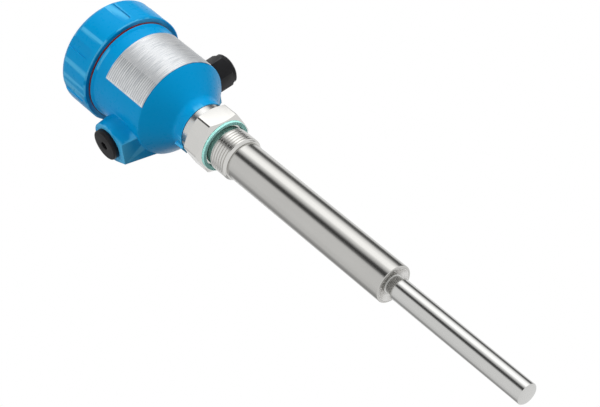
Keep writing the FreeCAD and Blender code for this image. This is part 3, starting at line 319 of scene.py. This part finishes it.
def moulded_polyamide(name, colour="101012", rough=0.42):
    """Glass-filled polyamide as moulded.

    It is satin, with the grain of a spark-eroded mould. The real grain is under
    0.1 mm; it is drawn 0.8 mm wide, so that it shows.
    """
    material, tree, place = start_material(name)
    grain = put(tree, "ShaderNodeTexNoise", {
        "Vector": place, "Scale": 1.0 / SPARK_GRAIN, "Detail": 3.0})
    cloud = put(tree, "ShaderNodeTexNoise", {
        "Vector": place, "Scale": 1.0 / MOULD_CLOUD, "Detail": 2.0})
    bump = put(tree, "ShaderNodeBump", {
        "Height": grain, "Strength": 0.2, "Distance": 0.05 * MM})
    full = linear(colour)
    tone = put(tree, "ShaderNodeMix", {
        0: cloud.outputs["Fac"], 6: full,
        7: tuple(min(1.0, c * 1.25 + 0.002) for c in full[:3]) + (1.0,)}, data_type="RGBA")
    gloss = put(tree, "ShaderNodeMapRange", {
        "Value": cloud, "From Min": 0.3, "From Max": 0.7,
        "To Min": rough - 0.06, "To Max": rough + 0.06})
    return close_material(material, tree, put(tree, "ShaderNodeBsdfPrincipled", {
        "Base Color": tone, "Roughness": gloss, "IOR": 1.53, "Specular IOR Level": 0.16,
        "Normal": bump}))


def pressed_fibre(name, colour):
    """Pressed aramid fibre sheet: chalky turquoise with short pale fibres.

    The real fibres are about 0.5 mm long; they are drawn 1.25 mm, so that they show.
    """
    material, tree, place = start_material(name)
    fibres = put(tree, "ShaderNodeTexNoise", {
        "Vector": place, "Scale": 1.0 / FIBRE, "Detail": 4.0, "Roughness": 0.7})
    bump = put(tree, "ShaderNodeBump", {
        "Height": fibres, "Strength": 0.35, "Distance": 0.07 * MM})
    tone = put(tree, "ShaderNodeMix", {
        0: fibres.outputs["Fac"], 6: linear(colour), 7: linear("C4F8F1")}, data_type="RGBA")
    return close_material(material, tree, put(tree, "ShaderNodeBsdfPrincipled", {
        "Base Color": tone, "Roughness": 0.7, "IOR": 1.5, "Normal": bump}))


def vulcanised_rubber(name, colour):
    """Moulded elastomer seal: even satin colour with a little bloom in small patches."""
    material, tree, place = start_material(name)
    bloom = put(tree, "ShaderNodeTexNoise", {
        "Vector": place, "Scale": 1.0 / BLOOM, "Detail": 3.0})
    full = linear(colour)
    tone = put(tree, "ShaderNodeMix", {
        0: bloom.outputs["Fac"], 6: full,
        7: tuple(min(1.0, c * 1.2 + 0.004) for c in full[:3]) + (1.0,)}, data_type="RGBA")
    return close_material(material, tree, put(tree, "ShaderNodeBsdfPrincipled", {
        "Base Color": tone, "Roughness": 0.45, "IOR": 1.52, "Specular IOR Level": 0.3}))


def brushed_plate(name):
    """Anodised aluminium foil, brushed round the barrel, with plain ruled lines.

    The brush marks run round the barrel, so the plate glints in short streaks.
    They are drawn about 0.3 mm wide, which is as fine as the view shows.
    """
    material, tree, place = start_material(name)
    axes = put(tree, "ShaderNodeSeparateXYZ", {"Vector": place})
    turn = put(tree, "ShaderNodeMath", {0: axes.outputs["Y"], 1: axes.outputs["X"]},
               operation="ARCTAN2")
    height = put(tree, "ShaderNodeMath", {0: axes.outputs["Z"], 1: MM}, operation="DIVIDE")
    sheet = put(tree, "ShaderNodeCombineXYZ", {"X": turn, "Y": height})
    brushed = put(tree, "ShaderNodeMapping", {
        "Vector": sheet, "Scale": (BRUSHES_PER_RADIAN, BRUSHES_PER_MM, 1.0)})
    marks = put(tree, "ShaderNodeTexNoise", {
        "Vector": brushed, "Scale": 1.0, "Detail": 5.0, "Roughness": 0.65})
    bump = put(tree, "ShaderNodeBump", {
        "Height": marks.outputs["Fac"], "Strength": 0.2, "Distance": 0.04 * MM})
    streaks_and_painted_highlight = put(tree, "ShaderNodeMapRange", {
        "Value": marks.outputs["Fac"], "From Min": 0.38, "From Max": 0.58})
    metal = put(tree, "ShaderNodeMix", {
        0: streaks_and_painted_highlight.outputs["Result"], 6: linear("B4B9BE"), 7: linear("F4F5F6")},
        data_type="RGBA")
    row = put(tree, "ShaderNodeMath", {0: height, 1: RULE_PITCH}, operation="MODULO")
    ink = put(tree, "ShaderNodeMath", {0: row, 1: RULE_WIDTH}, operation="LESS_THAN")
    before = put(tree, "ShaderNodeMath", {0: turn, 1: RULE_END}, operation="LESS_THAN")
    after = put(tree, "ShaderNodeMath", {0: turn, 1: RULE_START}, operation="GREATER_THAN")
    within = put(tree, "ShaderNodeMath", {0: before, 1: after}, operation="MULTIPLY")
    ruled = put(tree, "ShaderNodeMath", {0: within, 1: ink}, operation="MULTIPLY")
    faint = put(tree, "ShaderNodeMath", {0: ruled, 1: 0.4}, operation="MULTIPLY")
    tone = put(tree, "ShaderNodeMix", {
        0: faint, 6: metal.outputs[2], 7: linear("5C6068")}, data_type="RGBA")
    gloss = put(tree, "ShaderNodeMapRange", {
        "Value": marks.outputs["Fac"], "From Min": 0.3, "From Max": 0.7,
        "To Min": 0.42, "To Max": 0.62})
    return close_material(material, tree, put(tree, "ShaderNodeBsdfPrincipled", {
        "Base Color": tone, "Metallic": 1.0, "Roughness": gloss, "Normal": bump}))


def fired_ceramic(name):
    """Fired piezo ceramic: dense, cream and faintly speckled.

    The real grains can't be seen; the specks are drawn 0.7 mm wide.
    """
    material, tree, place = start_material(name)
    speck = put(tree, "ShaderNodeTexNoise", {
        "Vector": place, "Scale": 1.0 / SPECK, "Detail": 3.0})
    tone = put(tree, "ShaderNodeMix", {
        0: speck.outputs["Fac"], 6: linear("A79C85"), 7: linear("C9BFA8")}, data_type="RGBA")
    return close_material(material, tree, put(tree, "ShaderNodeBsdfPrincipled", {
        "Base Color": tone, "Roughness": 0.35, "IOR": 1.9}))


def rolled_brass(name):
    """Cold-rolled brass: warm yellow with straight rolling marks.

    The marks are drawn 0.4 mm wide, coarser than real ones, so that they show.
    """
    material, tree, place = start_material(name)
    rolled = put(tree, "ShaderNodeMapping", {
        "Vector": place, "Scale": (1.0, ROLL_SQUEEZE, 1.0)})
    marks = put(tree, "ShaderNodeTexNoise", {
        "Vector": rolled, "Scale": 1.0 / ROLL_MARK, "Detail": 4.0})
    tone = put(tree, "ShaderNodeMix", {
        0: marks.outputs["Fac"], 6: linear("C9A24B"), 7: linear("E6C777")}, data_type="RGBA")
    return close_material(material, tree, put(tree, "ShaderNodeBsdfPrincipled", {
        "Base Color": tone, "Metallic": 1.0, "Roughness": 0.28}))


def solder_resist(name):
    """Green solder resist over copper tracks on glass-fibre board.

    The tracks, 1.6 mm long and 0.8 mm wide, show as slightly different greens.
    """
    material, tree, place = start_material(name)
    tracks = put(tree, "ShaderNodeTexBrick", {
        "Vector": place, "Scale": 1.0 / TRACK_TILE, "Mortar Size": 0.03,
        "Color1": linear("1C5B31"), "Color2": linear("1F6637"), "Mortar": linear("2F7F49")})
    return close_material(material, tree, put(tree, "ShaderNodeBsdfPrincipled", {
        "Base Color": tracks, "Roughness": 0.32, "IOR": 1.55}))


def clear_lens(name, colour):
    """Tinted polycarbonate lamp lens: glossy, and paler where the reflector shows."""
    material, tree, place = start_material(name)
    depth = put(tree, "ShaderNodeTexGradient", {"Vector": place})
    tone = put(tree, "ShaderNodeMix", {
        0: depth.outputs["Fac"], 6: linear(colour), 7: linear("8FE08F")}, data_type="RGBA")
    return close_material(material, tree, put(tree, "ShaderNodeBsdfPrincipled", {
        "Base Color": tone, "Roughness": 0.12, "IOR": 1.58, "Transmission Weight": 0.35}))


def dress(node, material):
    """Gives a CAD node its finish."""
    NODES[node].data.materials.clear()
    NODES[node].data.materials.append(material)


def pick_only(thing):
    """Selects one object and makes it active."""
    bpy.ops.object.select_all(action="DESELECT")
    thing.select_set(True)
    bpy.context.view_layer.objects.active = thing


def body_of_node(node):
    """The body that a CAD node moves with."""
    for body, members in frame["record"]["behaviour"]["bodies"].items():
        if node in members:
            return body
    raise ValueError(f"{node} is on no body")


def copy_of(node, name):
    """A merged copy of a CAD node, which stands for the node and rides with it."""
    pick_only(NODES[node])
    bpy.ops.object.duplicate()
    piece = bpy.context.view_layer.objects.active
    piece.name = name
    piece.data.name = name
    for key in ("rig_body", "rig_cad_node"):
        if key in piece:
            del piece[key]
    piece.parent = None
    bpy.ops.object.mode_set(mode="EDIT")
    bpy.ops.mesh.select_all(action="SELECT")
    bpy.ops.mesh.remove_doubles(threshold=MERGE_GAP)
    bpy.ops.mesh.dissolve_limited(angle_limit=FLAT_JOIN)
    bpy.ops.object.mode_set(mode="OBJECT")
    bpy.ops.mesh.customdata_custom_splitnormals_clear()
    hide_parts(node)
    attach(piece, body_of_node(node))
    return piece


def ease(piece, width, sharp=SHARP):
    """Rounds the edges of a piece that turn by more than an angle."""
    pick_only(piece)
    rounding = piece.modifiers.new("Eased edges", "BEVEL")
    rounding.width = width
    rounding.segments = EASE_STEPS
    rounding.limit_method = "ANGLE"
    rounding.angle_limit = math.radians(sharp)
    rounding.use_clamp_overlap = True
    bpy.ops.object.modifier_apply(modifier=rounding.name)
    bpy.ops.object.shade_smooth_by_angle(angle=math.radians(sharp + SMOOTH_MARGIN))
    return piece


def eased_copy(node, name, width, sharp=SHARP):
    """A copy of a CAD node with its sharp edges rounded."""
    return ease(copy_of(node, name), width, sharp)


def finish(piece, material):
    """Gives a new piece its finish."""
    piece.data.materials.clear()
    piece.data.materials.append(material)


class SWITCH_OT_steel(bpy.types.Operator):
    """Finish the extension tube, its diaphragm and the vibrating rod"""
    bl_idname = "switch.steel"
    bl_label = "Tube and Rod"

    def execute(self, context):
        width = context.scene.switch_finish.machined_edge
        drawn = turned_steel("Drawn stainless tube")
        ground = turned_steel("Ground stainless rod", "CFCFCD", "C3C3C1", 0.14)
        for node, material in (("probe_tube", drawn), ("vibrating_rod", ground)):
            finish(eased_copy(node, node + "_turned", width), material)
        dress("diaphragm", turned_steel(
            "Faced stainless diaphragm", "E4E3E1", "D8D7D5", 0.3, True))
        dress("counter_rod", turned_steel("Ground stainless core", rough=0.22))
        return {"FINISHED"}


def thread_profile(pitch, crest, depth):
    """One ridge of the thread, as a line of points up the start of the helix."""
    bpy.ops.object.select_all(action="DESELECT")
    bpy.ops.mesh.primitive_plane_add(size=pitch)
    piece = bpy.context.object
    bpy.ops.object.mode_set(mode="EDIT")
    bpy.ops.mesh.select_mode(type="VERT")
    bpy.ops.mesh.select_all(action="DESELECT")
    bpy.ops.object.mode_set(mode="OBJECT")
    for point in piece.data.vertices:
        point.select = point.co.x > 0.0
    bpy.ops.object.mode_set(mode="EDIT")
    bpy.ops.mesh.delete(type="VERT")
    bpy.ops.mesh.select_all(action="SELECT")
    bpy.ops.mesh.subdivide(number_cuts=RIDGE_CUTS)
    bpy.ops.object.mode_set(mode="OBJECT")
    for point in piece.data.vertices:
        share = point.co.y / pitch + 0.5
        # Broad crests, narrow roots and a soft turn between them
        wave = 0.5 - 0.5 * math.cos(math.tau * share)
        flank = min(1.0, max(0.0, (wave - ROOT_SHARE) / FLANK_SHARE))
        point.co = (crest - depth + depth * flank, 0.0, point.co.y)
    return piece


def cut_off(level, upward):
    """Cuts the active mesh flat at a level and closes the cut."""
    bpy.ops.object.mode_set(mode="EDIT")
    bpy.ops.mesh.select_all(action="SELECT")
    bpy.ops.mesh.bisect(plane_co=(0.0, 0.0, level), plane_no=(0.0, 0.0, 1.0), use_fill=True,
                        clear_outer=upward, clear_inner=not upward)
    bpy.ops.object.mode_set(mode="OBJECT")


def process_thread(settings, top, bottom, lead_in):
    """The helical ridges between the relief and the end of the fitting."""
    pitch, crest, depth = settings.pitch, settings.crest, settings.depth
    piece = thread_profile(pitch, crest, depth)
    piece.name = "process_thread"
    turns = math.ceil((top - bottom) / pitch) + 2
    helix = piece.modifiers.new("Helix", "SCREW")
    helix.axis = "Z"
    helix.angle = math.tau
    helix.screw_offset = pitch
    helix.iterations = turns
    helix.steps = THREAD_STEPS
    helix.render_steps = THREAD_STEPS
    helix.use_merge_vertices = True
    helix.merge_threshold = THREAD_WELD
    bpy.ops.object.modifier_apply(modifier=helix.name)
    for point in piece.data.vertices:
        point.co.z += bottom - pitch
    bpy.ops.object.mode_set(mode="EDIT")
    bpy.ops.mesh.select_all(action="SELECT")
    bpy.ops.mesh.remove_doubles(threshold=THREAD_WELD)
    bpy.ops.object.mode_set(mode="OBJECT")
    cut_off(top, True)
    cut_off(bottom, False)
    # The first and last ridges run out under 45 degrees, as the tool leaves them
    for point in piece.data.vertices:
        radius = math.hypot(point.co.x, point.co.y)
        reach = min(point.co.z - bottom, top - point.co.z + RUN_OUT)
        limit = crest - max(0.0, lead_in - reach)
        if radius > limit:
            point.co.x *= limit / radius
            point.co.y *= limit / radius
    bpy.ops.object.mode_set(mode="EDIT")
    bpy.ops.mesh.select_all(action="SELECT")
    bpy.ops.mesh.normals_make_consistent(inside=False)
    bpy.ops.object.mode_set(mode="OBJECT")
    bpy.ops.object.shade_smooth_by_angle(angle=math.radians(50.0))
    return piece


def blunt_hexagon(piece, width):
    """Takes the six upright edges of the hexagon down to narrow flats."""
    bpy.ops.object.mode_set(mode="EDIT")
    bpy.ops.mesh.select_mode(type="EDGE")
    bpy.ops.mesh.select_all(action="DESELECT")
    bpy.ops.object.mode_set(mode="OBJECT")
    points = piece.data.vertices
    for edge in piece.data.edges:
        one, other = (points[index].co for index in edge.vertices)
        level = (one - other).to_2d().length
        edge.select = (level < HEX_LEAN and abs(one.z - other.z) > HEX_EDGE_LENGTH
                       and one.to_2d().length > HEX_EDGE_RADIUS)
    found = sum(edge.select for edge in piece.data.edges)
    if found != 6:
        raise ValueError(f"the hexagon has {found} upright edges")
    bpy.ops.object.mode_set(mode="EDIT")
    bpy.ops.mesh.bevel(offset=width, segments=1, affect="EDGES", clamp_overlap=True)
    bpy.ops.object.mode_set(mode="OBJECT")


class SWITCH_OT_fitting(bpy.types.Operator):
    """Finish the process fitting and cut its thread"""
    bl_idname = "switch.fitting"
    bl_label = "Process Fitting"

    def execute(self, context):
        width = context.scene.switch_finish.machined_edge
        settings = context.scene.switch_thread
        steel = turned_steel("Turned stainless fitting", "D8D7D4", "CAC9C6", 0.2)
        piece = copy_of("process_fitting", "fitting_turned")
        blunt_hexagon(piece, HEX_FLAT)
        ease(piece, width, SHARP_ON_FITTING)
        # The copy's plain cylinder goes in below the roots, where the thread covers it
        root = settings.crest - settings.depth - CORE_SINK
        for point in piece.data.vertices:
            radius = math.hypot(point.co.x, point.co.y)
            if (THREAD_FOOT + CORE_REACH > point.co.z > THREAD_TIP - CORE_REACH
                    and radius > root):
                point.co.x *= root / radius
                point.co.y *= root / radius
        thread = process_thread(settings, THREAD_FOOT, THREAD_TIP, THREAD_LEAD_IN)
        pick_only(thread)
        piece.select_set(True)
        context.view_layer.objects.active = piece
        bpy.ops.object.join()
        finish(piece, steel)
        return {"FINISHED"}


class SWITCH_OT_seals(bpy.types.Operator):
    """Finish the gasket and the seals"""
    bl_idname = "switch.seals"
    bl_label = "Gasket and Seals"

    def execute(self, context):
        colour = context.scene.switch_finish.gasket
        gasket = eased_copy("process_gasket", "gasket_pressed", GASKET_EDGE)
        finish(gasket, pressed_fibre("Aramid fibre gasket", colour))
        dress("cover_seal", vulcanised_rubber("Red silicone seal", "66170F"))
        black = vulcanised_rubber("Nitrile rubber seal", "161617")
        for node in ("neck_seal", "gland_ring", "gland_seal", "plug_seal"):
            dress(node, black)
        return {"FINISHED"}


class SWITCH_OT_housing(bpy.types.Operator):
    """Finish the cast housing and its screw cover"""
    bl_idname = "switch.housing"
    bl_label = "Housing and Cover"

    def execute(self, context):
        settings = context.scene.switch_finish
        paint = powder_coat("Blue polyester powder coat", settings.paint)
        housing = eased_copy("housing_body", "housing_painted", settings.cast_edge)
        finish(housing, paint)
        cover = eased_copy("screw_cover", "cover_painted", settings.cast_edge * COVER_EASE,
                           SHARP_ON_COVER)
        finish(cover, paint)
        dress("lock_screw", turned_steel("Blackened set screw", colour="3A3A3C", shade="2A2A2C"))
        return {"FINISHED"}


class SWITCH_OT_nameplate(bpy.types.Operator):
    """Finish the bare nameplate"""
    bl_idname = "switch.nameplate"
    bl_label = "Nameplate"

    def execute(self, context):
        dress("nameplate", brushed_plate("Brushed anodised plate"))
        return {"FINISHED"}


class SWITCH_OT_entries(bpy.types.Operator):
    """Finish the cable gland and the blanking plug"""
    bl_idname = "switch.entries"
    bl_label = "Cable Entries"

    def execute(self, context):
        width = context.scene.switch_finish.moulded_edge
        black = moulded_polyamide("Black glass-filled polyamide")
        for node in ("gland_body", "gland_nut", "blanking_plug"):
            finish(eased_copy(node, node + "_moulded", width), black)
        return {"FINISHED"}


class SWITCH_OT_inside(bpy.types.Operator):
    """Finish the drive stack, the electronics insert and the terminals"""
    bl_idname = "switch.inside"
    bl_label = "Inner Parts"

    def execute(self, context):
        screws = turned_steel("Zinc-plated screw steel", colour="C9CBCD", shade="B4B7BA")
        brass = rolled_brass("Rolled brass")
        white = moulded_polyamide("White slider plastic", "E4E4DF", 0.35)
        finishes = {
            "piezo_discs": fired_ceramic("Fired piezo ceramic"),
            "stack_electrodes": brass,
            "stack_insulators": moulded_polyamide("Alumina insulator", "DAD6CC", 0.4),
            "stack_cap": screws, "stack_nut": screws, "stack_bolt": screws,
            "sensor_lead": vulcanised_rubber("Silicone lead insulation", "8C2018"),
            "electronics_insert": moulded_polyamide("Dark grey insert", "3A3D41", 0.45),
            "circuit_board": solder_resist("Green solder resist"),
            "insert_screws": screws, "terminal_screws": screws,
            "terminal_block": moulded_polyamide("Grey terminal plastic", "A3A7A8", 0.45),
            "switch_block": moulded_polyamide("Black switch plastic", "1D1E20", 0.4),
            "failsafe_slider": white, "density_slider": white,
            "status_lamp": clear_lens("Green lamp lens", "2AA832"),
            "earth_clamp": screws, "earth_screw": brass,
        }
        for node, material in finishes.items():
            dress(node, material)
        return {"FINISHED"}


def white_room(level):
    """White surroundings for the eye, for steel and for glass, with softer light."""
    world = bpy.data.worlds.new("White room")
    world.use_nodes = True
    tree = world.node_tree
    tree.nodes.clear()
    lit = put(tree, "ShaderNodeBackground", {"Color": (1.0, 1.0, 1.0, 1.0), "Strength": level})
    white = put(tree, "ShaderNodeBackground", {"Color": (1.0, 1.0, 1.0, 1.0), "Strength": 1.0})
    path = put(tree, "ShaderNodeLightPath")
    metal = put(tree, "ShaderNodeMath", {
        0: path.outputs["Is Camera Ray"], 1: path.outputs["Is Glossy Ray"]}, operation="MAXIMUM")
    seen = put(tree, "ShaderNodeMath", {
        0: metal, 1: path.outputs["Is Transmission Ray"]}, operation="MAXIMUM")
    both = put(tree, "ShaderNodeMixShader", {0: seen, 1: lit, 2: white})
    put(tree, "ShaderNodeOutputWorld", {"Surface": both})
    return world


def pale_floor(name):
    """Matt white studio floor, clear from below, and plain white to metal and glass.

    It throws little light up at the switch, which hangs well clear of any floor.
    """
    material, tree, place = start_material(name)
    mottle = put(tree, "ShaderNodeTexNoise", {"Vector": place, "Scale": 1.0 / FLOOR_MOTTLE})
    tone = put(tree, "ShaderNodeMix", {
        0: mottle.outputs["Fac"], 6: linear("F2F2F2"), 7: linear("F6F6F6")}, data_type="RGBA")
    path = put(tree, "ShaderNodeLightPath")
    thrown = put(tree, "ShaderNodeMix", {
        0: path.outputs["Is Diffuse Ray"], 6: tone.outputs[2], 7: linear("9A9A9A")},
        data_type="RGBA")
    matt = put(tree, "ShaderNodeBsdfDiffuse", {"Color": thrown.outputs[2]})
    white = put(tree, "ShaderNodeEmission", {"Color": (1.0, 1.0, 1.0, 1.0), "Strength": 1.0})
    clear = put(tree, "ShaderNodeBsdfTransparent")
    metal = put(tree, "ShaderNodeMath", {
        0: path.outputs["Is Glossy Ray"], 1: path.outputs["Is Transmission Ray"]},
        operation="MAXIMUM")
    lifted = put(tree, "ShaderNodeMath", {0: path.outputs["Is Camera Ray"], 1: FLOOR_WHITE},
                 operation="MULTIPLY")
    share = put(tree, "ShaderNodeMath", {0: metal, 1: lifted}, operation="MAXIMUM")
    above = put(tree, "ShaderNodeMixShader", {0: share, 1: matt, 2: white})
    under = put(tree, "ShaderNodeNewGeometry")
    return close_material(material, tree, put(tree, "ShaderNodeMixShader", {
        0: under.outputs["Backfacing"], 1: above, 2: clear}))


def card_finish(name):
    """Graded studio card, from dark felt to lit screen, that only a glossy surface shows."""
    material, tree, place = start_material(name)
    axes = put(tree, "ShaderNodeSeparateXYZ", {"Vector": place})
    turn = put(tree, "ShaderNodeMath", {0: axes.outputs["Y"], 1: axes.outputs["X"]},
               operation="ARCTAN2")
    share = put(tree, "ShaderNodeMapRange", {
        "Value": turn, "From Min": math.radians(CARD_START), "From Max": math.radians(CARD_END)})
    grade = put(tree, "ShaderNodeValToRGB", {"Fac": share.outputs["Result"]})
    ramp = grade.color_ramp
    ramp.interpolation = "EASE"
    spots = ramp.elements
    while len(spots) < len(CARD_STOPS):
        spots.new(0.5)
    for spot, (bearing, glow) in zip(spots, CARD_STOPS):
        level = glow / CARD_FULL
        spot.position = (bearing - CARD_START) / (CARD_END - CARD_START)
        spot.color = (level, level, level, 1.0)
    return close_material(material, tree, put(tree, "ShaderNodeEmission", {
        "Color": grade, "Strength": CARD_FULL}))


def studio_card(name):
    """A graded card that stands all round the switch.

    Polished steel shows only what stands round it, so this card gives it the
    dark and bright bands of a product photograph. The eye and matt surfaces
    don't see it.
    """
    bpy.ops.object.select_all(action="DESELECT")
    bpy.ops.mesh.primitive_grid_add(x_subdivisions=96, y_subdivisions=1, size=1.0)
    card = bpy.context.object
    card.name = name
    for point in card.data.vertices:
        bearing = math.radians(CARD_START + (CARD_END - CARD_START) * (point.co.x + 0.5))
        point.co = (CARD_RADIUS * math.cos(bearing), CARD_RADIUS * math.sin(bearing),
                    CARD_FOOT if point.co.y < 0.0 else CARD_TOP)
    card.data.materials.append(card_finish(name))
    card.visible_camera = False
    card.visible_diffuse = False
    card.visible_shadow = False
    card.visible_transmission = False


def camera_axes(roll):
    """The camera's right, up and forward directions."""
    forward = (AIM - EYE).normalized()
    level = forward.cross(Vector((0.0, 0.0, 1.0))).normalized()
    rise = level.cross(forward)
    right = level * math.cos(roll) + rise * math.sin(roll)
    upward = rise * math.cos(roll) - level * math.sin(roll)
    return right, upward, forward


def softbox(name, place, aim, size, power):
    """An area lamp that lights the paint and plastic, and doesn't show in the steel."""
    bpy.ops.object.light_add(type="AREA", location=place)
    lamp = bpy.context.object
    lamp.name = name
    lamp.data.shape = "RECTANGLE"
    lamp.data.size, lamp.data.size_y = size
    lamp.data.energy = power
    lamp.visible_glossy = False
    lamp.rotation_euler = (aim - place).to_track_quat("-Z", "Y").to_euler()


class SWITCH_OT_stage(bpy.types.Operator):
    """Build the studio: floor, card, lamps and camera"""
    bl_idname = "switch.stage"
    bl_label = "Stage"

    def execute(self, context):
        settings = context.scene.switch_stage
        right, upward, forward = camera_axes(settings.roll)
        bpy.ops.mesh.primitive_plane_add(size=FLOOR_SIZE, location=(0.0, 0.0, FLOOR_LEVEL))
        floor = context.object
        floor.name = "studio_floor"
        floor.data.materials.append(pale_floor("Matt white floor"))
        context.scene.world = white_room(settings.room)
        studio_card("graded_card")
        for name, bearing, rise, far, width, height, power in LAMPS:
            bearing, rise = math.radians(bearing), math.radians(rise)
            towards = Vector((math.cos(bearing) * math.cos(rise),
                              math.sin(bearing) * math.cos(rise), math.sin(rise)))
            softbox(name, LAMP_AIM + towards * far, LAMP_AIM, (width, height), power)
        bpy.ops.object.camera_add(location=EYE)
        camera = context.object
        camera.name = "photo_camera"
        camera.matrix_world = Matrix.Translation(EYE) @ Matrix(
            (right, upward, -forward)).transposed().to_4x4()
        camera.data.sensor_width = SENSOR_WIDTH
        camera.data.lens = settings.lens
        camera.data.clip_start = NEAREST
        camera.data.clip_end = FARTHEST
        context.scene.camera = camera
        context.scene.view_settings.view_transform = "Standard"
        return {"FINISHED"}


STEPS = (SWITCH_OT_steel, SWITCH_OT_fitting, SWITCH_OT_seals, SWITCH_OT_housing,
         SWITCH_OT_nameplate, SWITCH_OT_entries, SWITCH_OT_inside, SWITCH_OT_stage)


class SWITCH_PT_panel(bpy.types.Panel):
    """Lists the pieces of the switch"""
    bl_idname = "SWITCH_PT_panel"
    bl_label = "Level Switch"
    bl_space_type = "VIEW_3D"
    bl_region_type = "UI"
    bl_category = "Level Switch"

    def draw(self, context):
        for step in STEPS:
            self.layout.operator(step.bl_idname)


GROUPS = (("switch_finish", SwitchFinish), ("switch_thread", SwitchThread),
          ("switch_stage", SwitchStage))


def register():
    """Adds the settings, the steps and the panel to Blender."""
    for name, group in GROUPS:
        bpy.utils.register_class(group)
        setattr(bpy.types.Scene, name, bpy.props.PointerProperty(type=group))
    for item in STEPS + (SWITCH_PT_panel,):
        bpy.utils.register_class(item)


def unregister():
    """Takes them out again."""
    for item in reversed(STEPS + (SWITCH_PT_panel,)):
        bpy.utils.unregister_class(item)
    for name, group in reversed(GROUPS):
        delattr(bpy.types.Scene, name)
        bpy.utils.unregister_class(group)


def main():
    """Builds the whole scene."""
    register()
    bpy.ops.switch.steel()
    bpy.ops.switch.fitting()
    bpy.ops.switch.seals()
    bpy.ops.switch.housing()
    bpy.ops.switch.nameplate()
    bpy.ops.switch.entries()
    bpy.ops.switch.inside()
    bpy.ops.switch.stage()
    bpy.context.view_layer.update()


if __name__ == "__main__":
    main()
